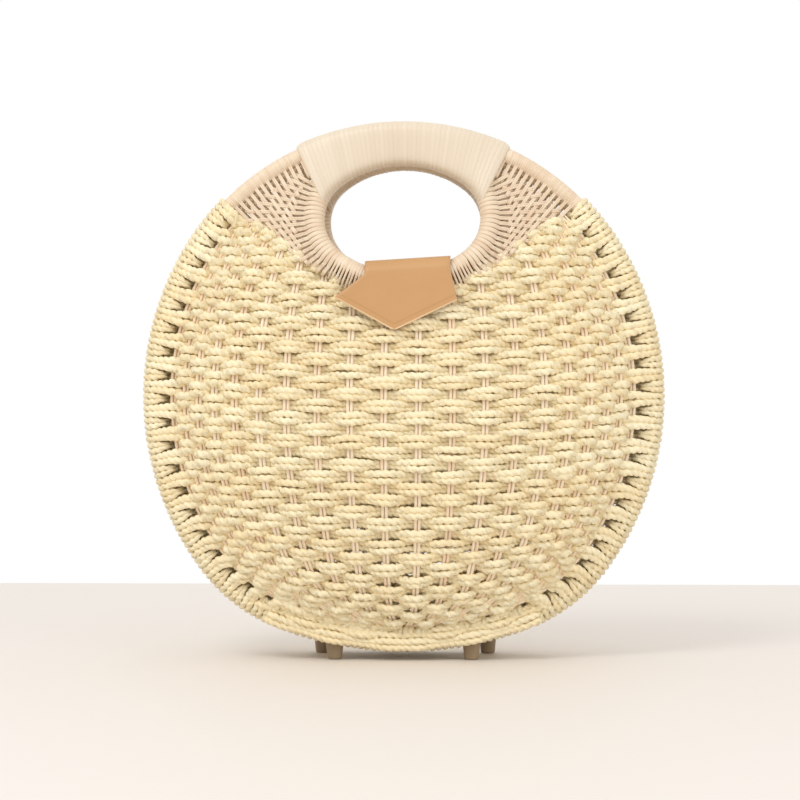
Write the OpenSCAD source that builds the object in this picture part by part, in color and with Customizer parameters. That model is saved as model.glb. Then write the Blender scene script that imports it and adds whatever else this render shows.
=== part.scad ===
// Round woven bag: two rattan hoops with a domed rope panel on each, joined by a woven gusset,
// two oval handle rings with wrapped grips, four peg feet and a leather closing strap.
// Front is -Y, +Z is up, and the origin is on the table under the middle of the bag.

/* [Outline] */
// Half of the bag's width over the rope-wrapped rim
half_width = 147; // [143:0.5:151]
// Height of the rope-wrapped rim over the table
rim_lift = 4; // [3:0.5:8]
// How much larger the outline's radius is at the sides than at the top
side_over_top = 20; // [17:0.5:22]
// How much larger the outline's radius is at the base than at the lower corners
base_over_corner = 102; // [95:0.5:108]

/* [Hoops] */
// Distance between the two hoops, centre to centre
hoop_spacing = 36; // [33:0.5:42]
// Diameter of the hoops' bent rattan rod
hoop_d = 7; // [6:0.25:8.5]
// Where rope gives way to cane on the rim, in degrees on the top arc
rope_angle = 45; // [40:1:50]
// Where the grip begins on the rim, in degrees on the top arc
grip_angle = 65; // [62:1:68]

/* [Rope] */
// Diameter of the twisted paper rope
cord_d = 3.4; // [2.6:0.1:3.6]
// How far the belly of a panel stands proud of its edge
belly_depth = 31; // [24:0.5:36]
// How far the belly's middle lies under the outline's middle
belly_drop = 28; // [20:1:36]
// Free depth between the weave and its stakes
stake_gap = 0.75; // [0.4:0.05:1]
// Diameter of one stake rod behind the weave
stake_d = 1.9; // [1.4:0.1:2.2]
// Number of stake pairs from the middle of a panel to one side
stake_count = 9; // [6:1:9]

/* [Handle ring] */
// Diameter of the handle rings' bent rattan rod
ring_d = 10; // [8:0.25:10.5]
// Radius of the handle ring at its sides, along the rod's centre
ring_side_radius = 32; // [30:0.5:34]
// How much larger the handle ring's radius is at its top and base than at its sides
ring_over_side = 29; // [26:0.5:33]
// Lean of the handle ring's lower bar towards the front, in degrees
ring_lean = 17; // [15:0.5:18]
// Distance between the hoop's rod and the ring's rod at the top, under the grip's wrap
ring_rod_gap = 3.7; // [2:0.1:4.5]
// Where the grip begins on the ring, in degrees on its side arc
ring_grip_angle = 24; // [20:1:28]

/* [Cane] */
// Thickness of the flat cane round rods
cane_t = 1.2; // [0.8:0.1:1.6]
// Thickness of the woven cane in the corners
corner_weave_t = 1.6; // [1.2:0.1:2]

/* [Feet] */
// Distance from the middle to a front foot
front_foot_x = 38.5; // [34:0.5:44]
// Distance from the middle to a back foot
back_foot_x = 47.5; // [42:0.5:54]
// Diameter of a foot at its top
foot_top_d = 11; // [9:0.5:12]
// Diameter of a foot at the table
foot_tip_d = 8; // [6:0.5:9]
// Diameter of the tenon that holds a foot in the hoop
tenon_d = 3.4; // [2.4:0.1:3.8]

/* [Leather] */
// Thickness of the strap's leather
strap_t = 1.6; // [1.2:0.1:1.8]
// Thickness of the tab's outer leather
tab_leather_t = 1; // [0.8:0.1:1.2]
// Thickness of the tab's lining
tab_lining_t = 0.6; // [0.4:0.1:0.8]
// Reach of the strap to the left of the middle, at the front bar
strap_left = 20.3; // [17:0.5:22]
// Reach of the strap to the right of the middle, at the front bar
strap_right = 27.1; // [24:0.5:28]
// Length of the lap in which the strap's loop is riveted to it
strap_lap = 12; // [10:0.5:14]
// Half of the strap's width in its loop round the back bar
loop_half_w = 15; // [12:0.5:17]
// Reach of the tab's left corner from the middle
tab_left = 37.2; // [34:0.5:40]
// Reach of the tab's right corner from the middle
tab_right = 31; // [29.5:0.5:34]
// Place of the tab's tip to the left of the middle
tip_left = 3.9; // [0:0.5:8]
// Height of the tab from its fold to its left corner
tab_left_h = 16.2; // [14:0.1:18]
// Height of the tab from its fold to its right corner
tab_right_h = 17.9; // [15:0.1:20]
// Height of the tab from its fold to its tip
tab_h = 34.7; // [31:0.1:38]

/* [Snap] */
// Diameter of the magnetic snap's halves
snap_d = 14; // [11:0.5:16]
// Thickness of the half on the tab
snap_plate_t = 1; // [0.8:0.1:1.2]
// Diameter of the snap's post through the weave
snap_post_d = 4; // [3:0.25:5]
// Depth of the closed snap, from the weave to the tab
snap_stack = 3.2; // [2.9:0.1:5]
// Free height between the ring's lower bar and the snap
snap_clear = 0.6; // [0.4:0.1:1.5]
// Free depth between the snap's cup and the weave, and behind the weave
snap_lift = 1.1; // [0.8:0.1:1.4]
// Thickness of the washer behind the weave
washer_t = 0.8; // [0.6:0.1:1]
// Diameter of a strap rivet's head
rivet_head_d = 6; // [5:0.25:7]
// Diameter of a strap rivet's shank
rivet_d = 2.5; // [2:0.1:3]

/* [Hidden] */
// Small clearances between pieces of one body, and between pieces that move apart
fit_gap = 0.15;
seat_gap = 0.3;
wall_gap = 0.45;
overrun = 1;
// Longer than any radius here
far = 500;
$fn = 48;

// The outline is tangent arcs round its own middle. A joint's direction is a pair of shares,
// and each arc is [centre x, centre z, radius, first direction, last direction]
top_joint_shares = [0.8432, 0.5376];
corner_joint_shares = [0.8, -0.6];
base_joint_shares = [0.352, -0.936];
hoop_y = hoop_spacing / 2;
rim_r = hoop_d / 2 + cord_d;
rim_caned_r = hoop_d / 2 + cane_t;
caned_r = ring_d / 2 + cane_t;
side_shift = side_over_top * top_joint_shares[0];
side_radius = half_width + side_shift;
top_radius = side_radius - side_over_top;
top_cz = side_over_top * top_joint_shares[1];
top_reach = top_cz + top_radius;
corner_cx = base_over_corner * base_joint_shares[0];
side_over_corner = (corner_cx + side_shift) / corner_joint_shares[0];
corner_cz = side_over_corner * corner_joint_shares[1];
corner_radius = side_radius - side_over_corner;
base_radius = corner_radius + base_over_corner;
base_cz = corner_cz - base_over_corner * base_joint_shares[1];
base_reach = base_radius - base_cz;
middle_z = base_reach + rim_lift;

function turn(a) = [cos(a), sin(a)];
function angle_of(direction) = atan2(direction[1], direction[0]);
side_end = angle_of(top_joint_shares);
corner_angle = -angle_of(corner_joint_shares);
base_end = angle_of(base_joint_shares);
function rim_arcs(inset, last) = [
    [0, base_cz, base_radius - inset, [0, -1], base_joint_shares],
    [corner_cx, corner_cz, corner_radius - inset, base_joint_shares, corner_joint_shares],
    [-side_shift, 0, side_radius - inset, corner_joint_shares, top_joint_shares],
    [0, top_cz, top_radius - inset, top_joint_shares, last]
];
function first_angle(arc) = angle_of(arc[3]);
function last_angle(arc) = angle_of(arc[4]);
function on_arc(arc, a) = [arc[0] + arc[2] * cos(a), arc[1] + arc[2] * sin(a)];
function arc_points(arc, steps) =
    [for (i = [0:steps - 1])
        on_arc(arc, first_angle(arc) + (last_angle(arc) - first_angle(arc)) * i / steps)];

// The handle ring is four tangent arcs in a plane that leans to the front from its top
ring_joint_shares = [0.6, 0.8];
ring_side_cx = ring_over_side * ring_joint_shares[0];
ring_arc_radius = ring_side_radius + ring_over_side;
ring_arc_cz = -ring_over_side * ring_joint_shares[1];
ring_half_h = ring_arc_radius + ring_arc_cz;
ring_side_end = angle_of(ring_joint_shares);
ring_top_z = top_reach - rim_r - hoop_d / 2 - ring_rod_gap - ring_d / 2;
bar_y = hoop_y + 2 * ring_half_h * sin(ring_lean);
bar_z = ring_top_z - 2 * ring_half_h * cos(ring_lean);

// From the ring's own plane, with its middle at zero, to the bag's frame
function from_ring(p) = [
    p[0],
    -hoop_y - (ring_half_h - p[1]) * sin(ring_lean),
    ring_top_z - (ring_half_h - p[1]) * cos(ring_lean)
];
function flipped(d) = [d[0], -d[1]];
ring_top_arc = [0, ring_arc_cz, ring_arc_radius, ring_joint_shares, [0, 1]];
ring_side_arc = [ring_side_cx, 0, ring_side_radius, flipped(ring_joint_shares), ring_joint_shares];
ring_base_arc = [0, -ring_arc_cz, ring_arc_radius, [0, -1], flipped(ring_joint_shares)];
function widened(arc, more) = [arc[0], arc[1], arc[2] + more, arc[3], arc[4]];

// The dome of a panel: how far its middle surface stands in front of the hoops at x, z
edge_share = 0.7071;
edge_offset = (rim_r + cord_d / 2 + seat_gap) * edge_share;
belly_z = -belly_drop;
dome_top_z = top_reach - rim_r - edge_offset;
dome_arcs = rim_arcs(rim_r + edge_offset, [0, 1]);
round_share = 2.2;
swell_share = 0.65;
upper_share = 1.5;

function heading(arc, a) =
    let (p = on_arc(arc, a)) atan2(p[1] - belly_z, p[0]);
function dome_arc_at(phi) =
    phi < heading(dome_arcs[0], base_end) ? dome_arcs[0]
    : phi < heading(dome_arcs[1], -corner_angle) ? dome_arcs[1]
    : phi < heading(dome_arcs[2], side_end) ? dome_arcs[2] : dome_arcs[3];
function reach(phi) =
    let (arc = dome_arc_at(phi), dx = arc[0], dz = arc[1] - belly_z)
    let (along = dx * cos(phi) + dz * sin(phi))
    along + sqrt(pow(arc[2], 2) - pow(dx, 2) - pow(dz, 2) + pow(along, 2));
function dome_share(x, z) =
    let (dx = abs(x), dz = z - belly_z)
    norm([dx, dz]) / reach(atan2(dz, dx));
function bulge(x, z) =
    let (s = min(1, dome_share(x, z)), up = max(0, z - belly_z) / (dome_top_z - belly_z))
    belly_depth * pow(1 - pow(s, round_share), swell_share) * (1 - pow(min(1, up), upper_share));
function dome_y(x, z) = -(hoop_y + edge_offset + bulge(x, z));

// A panel's edge runs along the rim, then over to the ring and under its lower bar
rope_corner = on_arc(dome_arcs[3], rope_angle);
ring_edge = caned_r + seat_gap;
function on_ring_edge(arc, a, more) = from_ring(on_arc(widened(arc, more), a));
ring_corner = on_ring_edge(ring_base_arc, -ring_side_end, ring_edge + cord_d / 2);
function edge_mix(a, b, t) = [a[0] + (b[0] - a[0]) * t, a[1] + (b[1] - a[1]) * t];
top_dome_arc = rim_arcs(rim_r + edge_offset, turn(rope_angle))[3];
edge_counts = [6, 5, 9, 3];
ring_steps = 7;
crossing_steps = 4;
panel_half = concat(
    arc_points(dome_arcs[0], edge_counts[0]),
    arc_points(dome_arcs[1], edge_counts[1]),
    arc_points(dome_arcs[2], edge_counts[2]),
    arc_points(top_dome_arc, edge_counts[3]),
    [for (i = [0:crossing_steps - 1])
        edge_mix(rope_corner, [ring_corner[0], ring_corner[2]], i / crossing_steps)],
    [for (i = [0:ring_steps])
        let (a = -ring_side_end - (90 - ring_side_end) * i / ring_steps)
        let (p = on_ring_edge(ring_base_arc, a, ring_edge + cord_d / 2)) [p[0], p[2]]]
);
half_count = len(panel_half);
panel_edge = concat(
    panel_half,
    [for (i = [half_count - 2:-1:1]) [-panel_half[i][0], panel_half[i][1]]]
);

// A closed shell from a grid of points: rows run outward and columns run round
function shell_faces(cols, rows) = concat(
    [for (i = [0:cols - 1]) [0, 2 + i, 2 + (i + 1) % cols]],
    [for (i = [0:cols - 1]) [1, 2 + rows * cols + (i + 1) % cols, 2 + rows * cols + i]],
    [for (j = [0:rows - 2], i = [0:cols - 1])
        let (a = 2 + j * cols, k = (i + 1) % cols) [a + i, a + cols + i, a + k]],
    [for (j = [0:rows - 2], i = [0:cols - 1])
        let (a = 2 + j * cols, k = (i + 1) % cols) [a + k, a + cols + i, a + cols + k]],
    [for (j = [0:rows - 2], i = [0:cols - 1])
        let (a = 2 + (rows + j) * cols, k = (i + 1) % cols) [a + i, a + k, a + cols + i]],
    [for (j = [0:rows - 2], i = [0:cols - 1])
        let (a = 2 + (rows + j) * cols, k = (i + 1) % cols) [a + k, a + cols + k, a + cols + i]],
    [for (i = [0:cols - 1])
        let (a = 2 + (rows - 1) * cols, b = 2 + (2 * rows - 1) * cols, k = (i + 1) % cols)
        [a + i, b + i, a + k]],
    [for (i = [0:cols - 1])
        let (a = 2 + (rows - 1) * cols, b = 2 + (2 * rows - 1) * cols, k = (i + 1) % cols)
        [a + k, b + i, b + k]]
);
dome_rows = 7;
function dome_point(edge, t, side) =
    let (x = edge[0] * t, z = belly_z + (edge[1] - belly_z) * t)
    [x, dome_y(x, z) + side * cord_d / 2, z];
dome_points = concat(
    [dome_point([0, belly_z], 0, -1), dome_point([0, belly_z], 0, 1)],
    [for (side = [-1, 1], j = [1:dome_rows], p = panel_edge)
        dome_point(p, sin(90 * j / dome_rows), side)]
);

// Stakes stand behind the weave, closer together towards the sides, and draw in up and down
stake_step_angle = 8.8;
stake_reach_share = 0.935;
stake_draw_share = 0.4;
stake_pull_share = 0.65;
stake_edge_share = 0.95;
stake_rings = 9;
function half_w(z) =
    let (low = on_arc(dome_arcs[0], base_end)[1], mid = on_arc(dome_arcs[1], -corner_angle)[1])
    let (high = on_arc(dome_arcs[2], side_end)[1])
    let (arc = z < low ? dome_arcs[0] : z < mid ? dome_arcs[1] : z < high ? dome_arcs[2] : dome_arcs[3])
    arc[0] + sqrt(max(0, pow(arc[2], 2) - pow(z - arc[1], 2)));
widest = half_w(0);
function stake_share(i) = stake_reach_share * sin((i + 0.5) * stake_step_angle);
function stake_x(i, z) =
    let (q = stake_share(i))
    q * widest * pow(half_w(z) / widest, stake_draw_share + stake_pull_share * q);
function crossing_z(x) =
    let (t = (abs(x) - ring_corner[0]) / (rope_corner[0] - ring_corner[0]))
    ring_corner[2] + (rope_corner[1] - ring_corner[2]) * t;
function bar_under_z(x) =
    let (r = ring_arc_radius + ring_edge + cord_d)
    bar_z + ring_arc_radius * cos(ring_lean) - sqrt(pow(r, 2) - pow(x, 2)) * cos(ring_lean);
function under_top(x, z) =
    z < (abs(x) < ring_corner[0] ? bar_under_z(x) : crossing_z(x)) - cord_d;
stake_search_steps = 120;
function stake_heights(i) = [
    for (k = [0:stake_search_steps])
        let (low = rim_r - base_reach, z = low + (dome_top_z - low) * k / stake_search_steps)
        let (x = stake_x(i, z))
        if (dome_share(x, z) < stake_edge_share && under_top(x, z)) z
];

// The wedge between an arc's two joints, seen from its centre
module wedge(arc, height) {
    linear_extrude(height, center = true)
        polygon([[0, 0], far * arc[3], far * (arc[3] + arc[4]), far * arc[4]]);
}

// Turns a profile round an arc's centre, between its joints, in the XZ plane
module along_arc(arc, height) {
    translate([arc[0], 0, arc[1]]) rotate([90, 0, 0]) intersection() {
        rotate_extrude($fn = 96) translate([arc[2], 0]) children();
        wedge(arc, height);
    }
}

// A bent rod or sleeve along one arc
module bent_sleeve(arc, outer_r, inner_r) {
    along_arc(arc, 2 * outer_r + 2 * overrun) difference() {
        circle(r = outer_r, $fn = 32);
        if (inner_r > 0) circle(r = inner_r, $fn = 32);
    }
}

module both_sides() {
    children();
    mirror([1, 0, 0]) children();
}

module ring_plane() {
    translate([0, -hoop_y, middle_z + ring_top_z]) rotate([-ring_lean, 0, 0]) translate([0, 0, -ring_half_h])
        children();
}

function foot_hoop_z(x) = base_cz - sqrt(pow(base_radius - rim_r, 2) - pow(x, 2));

module foot_bores(foot_x) {
    both_sides() translate([foot_x, 0, -base_reach - overrun])
        cylinder(d = tenon_d + 2 * fit_gap,
            h = foot_hoop_z(foot_x) + tenon_d / 2 + fit_gap + base_reach + overrun);
}

module on_hoop() {
    translate([0, -hoop_y, middle_z]) children();
}

module hoop(foot_x) {
    color("burlywood") on_hoop() difference() {
        both_sides() for (arc = rim_arcs(rim_r, [0, 1])) bent_sleeve(arc, hoop_d / 2, 0);
        foot_bores(foot_x);
    }
}

module rim_cord(foot_x) {
    color("wheat") on_hoop() difference() {
        both_sides() for (arc = rim_arcs(rim_r, turn(rope_angle)))
            bent_sleeve(arc, rim_r, hoop_d / 2 + fit_gap);
        foot_bores(foot_x);
    }
}

module rim_cane() {
    top = rim_arcs(rim_r, [0, 1])[3];
    gap_angle = seat_gap / top[2] * 180 / PI;
    arc = [top[0], top[1], top[2], turn(rope_angle + gap_angle), turn(grip_angle - gap_angle)];
    color("navajowhite") on_hoop() both_sides() bent_sleeve(arc, rim_caned_r, hoop_d / 2 + fit_gap);
}

module handle_ring() {
    color("burlywood") ring_plane() both_sides()
        for (arc = [ring_top_arc, ring_side_arc, ring_base_arc]) bent_sleeve(arc, ring_d / 2, 0);
}

module ring_wrap() {
    last = ring_grip_angle - (caned_r + wall_gap) / (ring_side_radius - caned_r) * 180 / PI;
    side = [ring_side_arc[0], ring_side_arc[1], ring_side_arc[2], ring_side_arc[3], turn(last)];
    color("navajowhite") ring_plane() both_sides()
        for (arc = [ring_base_arc, side]) bent_sleeve(arc, caned_r, ring_d / 2 + fit_gap);
}

// The grip covers the hoop and the ring together where they run side by side
grip_steps = 9;
grip_sides = 16;
grip_flare_share = 0.32;
ring_arc_part = (90 - ring_side_end) * ring_arc_radius;
ring_side_part = (ring_side_end - ring_grip_angle) * ring_side_radius;
function grip_hoop_point(t) =
    let (p = on_arc(rim_arcs(rim_r, [0, 1])[3], 90 - (90 - grip_angle) * t)) [p[0], -hoop_y, p[1]];
function grip_ring_point(t) =
    let (run = abs(t) * (ring_arc_part + ring_side_part))
    let (p = run < ring_arc_part
        ? on_arc(ring_top_arc, 90 - run / ring_arc_radius)
        : on_arc(ring_side_arc, ring_side_end - (run - ring_arc_part) / ring_side_radius))
    from_ring([t < 0 ? -p[0] : p[0], p[1]]);
function grip_section(t, hoop_r, ring_r) =
    let (h = grip_hoop_point(t), g = grip_ring_point(t), a = 90 - (90 - grip_angle) * t)
    let (u = (h - g) / norm(h - g), w = cross(u, [sin(a), 0, -cos(a)]), v = w / norm(w))
    let (flare = ring_r * (1 + grip_flare_share * pow(t, 4)))
    [for (k = [0:grip_sides - 1])
        let (c = (k + 0.5) * 360 / grip_sides, hoop_side = cos(c) > 0)
        (hoop_side ? h : g) + (hoop_side ? hoop_r : flare) * (cos(c) * u + sin(c) * v)];
grip_points = concat(
    [for (i = [-grip_steps:grip_steps], p = grip_section(i / grip_steps, rim_r, caned_r)) p],
    [for (i = [-grip_steps:grip_steps], p = grip_section(i / grip_steps,
        hoop_d / 2 + wall_gap, ring_d / 2 + wall_gap)) p]
);
// An open sleeve: the outer skin, the inner skin, and a flat rim at each end
function sleeve_faces(sections, sides) =
    let (inner = sections * sides, last = (sections - 1) * sides)
    concat(
        [for (j = [0:sections - 2], k = [0:sides - 1])
            let (a = j * sides, n = (k + 1) % sides) [a + k, a + sides + k, a + n]],
        [for (j = [0:sections - 2], k = [0:sides - 1])
            let (a = j * sides, n = (k + 1) % sides) [a + n, a + sides + k, a + sides + n]],
        [for (j = [0:sections - 2], k = [0:sides - 1])
            let (a = inner + j * sides, n = (k + 1) % sides) [a + k, a + n, a + sides + k]],
        [for (j = [0:sections - 2], k = [0:sides - 1])
            let (a = inner + j * sides, n = (k + 1) % sides) [a + n, a + sides + n, a + sides + k]],
        [for (k = [0:sides - 1]) let (n = (k + 1) % sides) [k, n, inner + k]],
        [for (k = [0:sides - 1]) let (n = (k + 1) % sides) [n, inner + n, inner + k]],
        [for (k = [0:sides - 1])
            let (n = (k + 1) % sides) [last + k, inner + last + k, last + n]],
        [for (k = [0:sides - 1])
            let (n = (k + 1) % sides) [last + n, inner + last + k, inner + last + n]]
    );
function sweep_faces(sections, sides) = concat(
    [[for (k = [0:sides - 1]) k]],
    [[for (k = [sides - 1:-1:0]) (sections - 1) * sides + k]],
    [for (j = [0:sections - 2], k = [0:sides - 1])
        let (a = j * sides, n = (k + 1) % sides) [a + k, a + sides + k, a + n]],
    [for (j = [0:sections - 2], k = [0:sides - 1])
        let (a = j * sides, n = (k + 1) % sides) [a + n, a + sides + k, a + sides + n]]
);

module grip_wrap() {
    color("antiquewhite") raised()
        polyhedron(grip_points, sleeve_faces(2 * grip_steps + 1, grip_sides));
}

module raised() {
    translate([0, 0, middle_z]) children();
}

module woven_dome() {
    polyhedron(dome_points, shell_faces(len(panel_edge), dome_rows));
}

module panel_with_snap_hole() {
    color("wheat") difference() {
        raised() woven_dome();
        snap_place() translate([0, 0, -snap_stack - 2 * cord_d - overrun])
            cylinder(d = snap_post_d + 2 * seat_gap, h = snap_stack + 2 * cord_d + overrun);
    }
}

module panel_with_loop_notch() {
    color("wheat") difference() {
        raised() woven_dome();
        translate([0, -bar_y, loop_z]) rotate([0, 90, 0])
            cylinder(r = loop_r + strap_t + wall_gap, h = 2 * (loop_half_w + wall_gap), center = true);
    }
}

// Woven cane fills the corner between the ring's side and the caned part of the rim
corner_cols = 9;
corner_rows = 4;
corner_crown = 1;
corner_rim_inset = (rim_caned_r + corner_weave_t / 2 + seat_gap) * edge_share;
corner_margin = 2 * wall_gap;
function corner_point(i, j) =
    let (t = i / corner_cols, s = j / corner_rows)
    let (rim = rim_arcs(rim_r + corner_rim_inset, [0, 1])[3])
    let (margin_angle = corner_margin / rim[2] * 180 / PI)
    let (rim_p = on_arc(rim, rope_angle + margin_angle
        + (grip_angle - rope_angle - 3 * margin_angle) * t))
    let (ring_margin_angle = corner_margin / ring_side_radius * 180 / PI)
    let (ring_p = on_ring_edge(ring_side_arc, -ring_side_end + ring_margin_angle
        + (ring_grip_angle + ring_side_end - 2 * ring_margin_angle) * t, ring_edge + corner_weave_t / 2))
    let (rim_q = [rim_p[0], -hoop_y - corner_rim_inset, rim_p[1]])
    ring_p + (rim_q - ring_p) * s - [0, corner_crown * 4 * s * (1 - s), 0];
corner_points = [for (side = [-1, 1], j = [0:corner_rows], i = [0:corner_cols])
    corner_point(i, j) + [0, side * corner_weave_t / 2, 0]];
function sheet_faces(cols, rows) =
    let (n = cols + 1, back = n * (rows + 1))
    concat(
        [for (j = [0:rows - 1], i = [0:cols - 1]) let (a = j * n + i) [a, a + n, a + 1]],
        [for (j = [0:rows - 1], i = [0:cols - 1]) let (a = j * n + i) [a + 1, a + n, a + n + 1]],
        [for (j = [0:rows - 1], i = [0:cols - 1]) let (a = back + j * n + i) [a, a + 1, a + n]],
        [for (j = [0:rows - 1], i = [0:cols - 1])
            let (a = back + j * n + i) [a + 1, a + n + 1, a + n]],
        [for (i = [0:cols - 1]) [i, i + 1, back + i]],
        [for (i = [0:cols - 1]) [i + 1, back + i + 1, back + i]],
        [for (i = [0:cols - 1]) let (a = rows * n + i) [a, back + a, a + 1]],
        [for (i = [0:cols - 1]) let (a = rows * n + i) [a + 1, back + a, back + a + 1]],
        [for (j = [0:rows - 1]) let (a = j * n) [a, back + a, a + n]],
        [for (j = [0:rows - 1]) let (a = j * n) [a + n, back + a, back + a + n]],
        [for (j = [0:rows - 1]) let (a = j * n + cols) [a, a + n, back + a]],
        [for (j = [0:rows - 1]) let (a = j * n + cols) [a + n, back + a + n, back + a]]
    );

module corner_weave() {
    color("bisque") raised() polyhedron(corner_points, sheet_faces(corner_cols, corner_rows));
}

// One stake rod, as a thin swept bar with four corners
function stake_points(i, shift) =
    let (zs = stake_heights(i), z0 = zs[0], z1 = zs[len(zs) - 1], r = stake_d / 2)
    [for (k = [0:stake_rings - 1])
        let (z = z0 + (z1 - z0) * k / (stake_rings - 1), x = stake_x(i, z) + shift)
        let (y = dome_y(x, z) + cord_d / 2 + stake_gap + r)
        each [[x + r, y, z], [x, y + r, z], [x - r, y, z], [x, y - r, z]]];

module stakes() {
    shift = (stake_d + fit_gap) / 2;
    color("peachpuff") raised() both_sides()
        for (i = [0:stake_count - 1], side = [-1, 1])
            polyhedron(stake_points(i, side * shift), sweep_faces(stake_rings, 4));
}

module gusset() {
    wide = hoop_spacing - 2 * rim_r - 2 * wall_gap;
    color("wheat") raised() both_sides() for (arc = rim_arcs(rim_r, turn(rope_angle)))
        along_arc(arc, 2 * wide) translate([-cord_d / 2, -wide / 2]) square([cord_d, wide]);
}

gusset_stake_share = 0.3;
module gusset_stakes() {
    inset = rim_r + cord_d / 2 + seat_gap + stake_d / 2;
    color("peachpuff") raised() for (side = [-1, 0, 1])
        translate([0, side * hoop_spacing * gusset_stake_share / 2, 0]) both_sides()
            for (arc = rim_arcs(inset, turn(rope_angle))) bent_sleeve(arc, stake_d / 2, 0);
}

module foot(foot_x) {
    hoop_z = middle_z + foot_hoop_z(foot_x);
    color("moccasin") {
        difference() {
            translate([foot_x, -hoop_y, 0])
                cylinder(d1 = foot_tip_d, d2 = foot_top_d, h = hoop_z - hoop_d / 2);
            on_hoop() for (i = [0, 1]) bent_sleeve(rim_arcs(rim_r, [0, 1])[i], rim_r + seat_gap, 0);
        }
        translate([foot_x, -hoop_y, foot_tip_d / 2])
            cylinder(d = tenon_d, h = hoop_z + tenon_d / 2 - foot_tip_d / 2);
    }
}

// The strap lies over the front bar, whose wrap is highest at the strap's right edge
fold_r = caned_r + seat_gap;
bar_inner_radius = ring_arc_radius - caned_r;
strap_bar_rise = bar_inner_radius - sqrt(pow(bar_inner_radius, 2) - pow(strap_right, 2));
fold_y = -bar_y;
fold_z = middle_z + bar_z + strap_bar_rise * cos(ring_lean) + seat_gap;
strap_z = fold_z + fold_r;
loop_rise = ring_arc_radius - sqrt(pow(ring_arc_radius, 2) - pow(loop_half_w, 2));
loop_r = caned_r + seat_gap + loop_rise / 2;
loop_z = middle_z + bar_z + loop_rise / 2;
loop_top_z = loop_z + loop_r;
loop_tail_share = 2.6;
tail_l = loop_tail_share * loop_r;
lap_sink_share = 0.5;
strap_slope = atan((strap_z - loop_top_z) / (2 * bar_y));

// The strap's own frame: x runs back along it from the loop's middle, y is up and z is across
module strap_frame() {
    translate([0, bar_y, loop_z]) rotate([90, 0, 90]) rotate([0, 0, -strap_slope]) children();
}

// The loop's outline: a circle, and a tail whose lower side leaves it along a tangent
tail_angle = 2 * atan(loop_r / tail_l);
module loop_outline(grow) {
    circle(r = loop_r + grow, $fn = 64);
    polygon([
        [0, loop_r + grow],
        [-tail_l, loop_r + grow],
        [-tail_l, loop_r - grow / cos(tail_angle)],
        [-(loop_r + grow) * sin(tail_angle), -(loop_r + grow) * cos(tail_angle)]
    ]);
}

// Seen from above, the strap widens from its loop to the front bar
strap_l = (bar_y - fold_y) / cos(strap_slope);
strap_plan_points = [
    [-tail_l / 2, -loop_half_w],
    [-tail_l / 2, loop_half_w],
    [-tail_l - strap_lap, loop_half_w],
    [-strap_l + loop_r, strap_right],
    [-strap_l, strap_right],
    [-strap_l, -strap_left],
    [-strap_l + loop_r, -strap_left],
    [-tail_l - strap_lap, -loop_half_w]
];

module rivet_places() {
    strap_frame() for (side = [-1, 1])
        translate([-tail_l - strap_lap / 2, loop_r, side * loop_half_w / 2]) rotate([-90, 0, 0]) children();
}

module closure_strap() {
    color("peru") difference() {
        strap_frame() {
            linear_extrude(2 * loop_half_w, center = true) difference() {
                loop_outline(strap_t);
                loop_outline(0);
            }
            translate([0, loop_r + strap_t, 0]) rotate([90, 0, 0]) linear_extrude(strap_t)
                polygon(strap_plan_points);
            translate([-tail_l - strap_lap, loop_r - strap_t, -loop_half_w])
                cube([strap_lap + overrun, (1 + lap_sink_share) * strap_t, 2 * loop_half_w]);
        }
        rivet_places() translate([0, 0, -strap_t - overrun])
            cylinder(d = rivet_d + 2 * fit_gap, h = 2 * strap_t + 2 * overrun);
    }
}

module strap_rivets() {
    head_t = rivet_d / 3;
    color("darkgoldenrod") rivet_places() {
        translate([0, 0, -strap_t - fit_gap]) cylinder(d = rivet_d, h = 2 * strap_t + 2 * fit_gap);
        translate([0, 0, strap_t + fit_gap]) cylinder(d = rivet_head_d, h = head_t);
        translate([0, 0, -strap_t - fit_gap - head_t]) cylinder(d = rivet_head_d, h = head_t);
    }
}

// The crease bends the leather over the front bar, from the strap down to the tab
module strap_crease() {
    start = 90 + seat_gap / fold_r * 90 / PI;
    color("peru") translate([(strap_right - strap_left) / 2, fold_y, fold_z]) rotate([90, 0, 90])
        rotate([0, 0, start])
            translate([0, 0, -(strap_left + strap_right) / 2])
                rotate_extrude(angle = 180 - tab_lean - start - (start - 90))
                    translate([fold_r, 0]) square([strap_t, strap_left + strap_right]);
}

// The tab's own frame: its fold line is at zero, x is across, y is down and z is towards the front
module tab_frame() {
    translate([0, fold_y, fold_z]) rotate([-tab_lean, 0, 0]) translate([0, -fold_r, 0])
        rotate([90, 0, 0]) children();
}

module tab_outline() {
    edge_left = strap_left + (tab_left - strap_left) * fold_r / (tab_left_h + fold_r);
    edge_right = strap_right + (tab_right - strap_right) * fold_r / (tab_right_h + fold_r);
    polygon([
        [-edge_left, 0], [-tab_left, -tab_left_h], [-tip_left, -tab_h],
        [tab_right, -tab_right_h], [edge_right, 0]
    ]);
}

module tab_leather() {
    color("peru") tab_frame() translate([0, 0, tab_lining_t]) linear_extrude(tab_leather_t) tab_outline();
}

module tab_lining() {
    color("tan") tab_frame() linear_extrude(tab_lining_t) tab_outline();
}

// The snap's stack, from the tab's inner face back to the weave
snap_x = ((strap_right - strap_left) / 2 - tip_left) / 2;
snap_fall = strap_bar_rise * cos(ring_lean) + seat_gap + caned_r + snap_clear + snap_d / 2;
weave_y_at_snap = dome_y(snap_x, fold_z - snap_fall - middle_z) - cord_d / 2;
tab_reach = fold_y - weave_y_at_snap + snap_stack;
// The tab leans just enough to clear the weave by the closed snap's depth
tab_lean = atan((tab_reach - fold_r) / snap_fall);
snap_drop = snap_fall / cos(tab_lean);
module snap_place() {
    tab_frame() translate([snap_x, -snap_drop, 0]) children();
}

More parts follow.
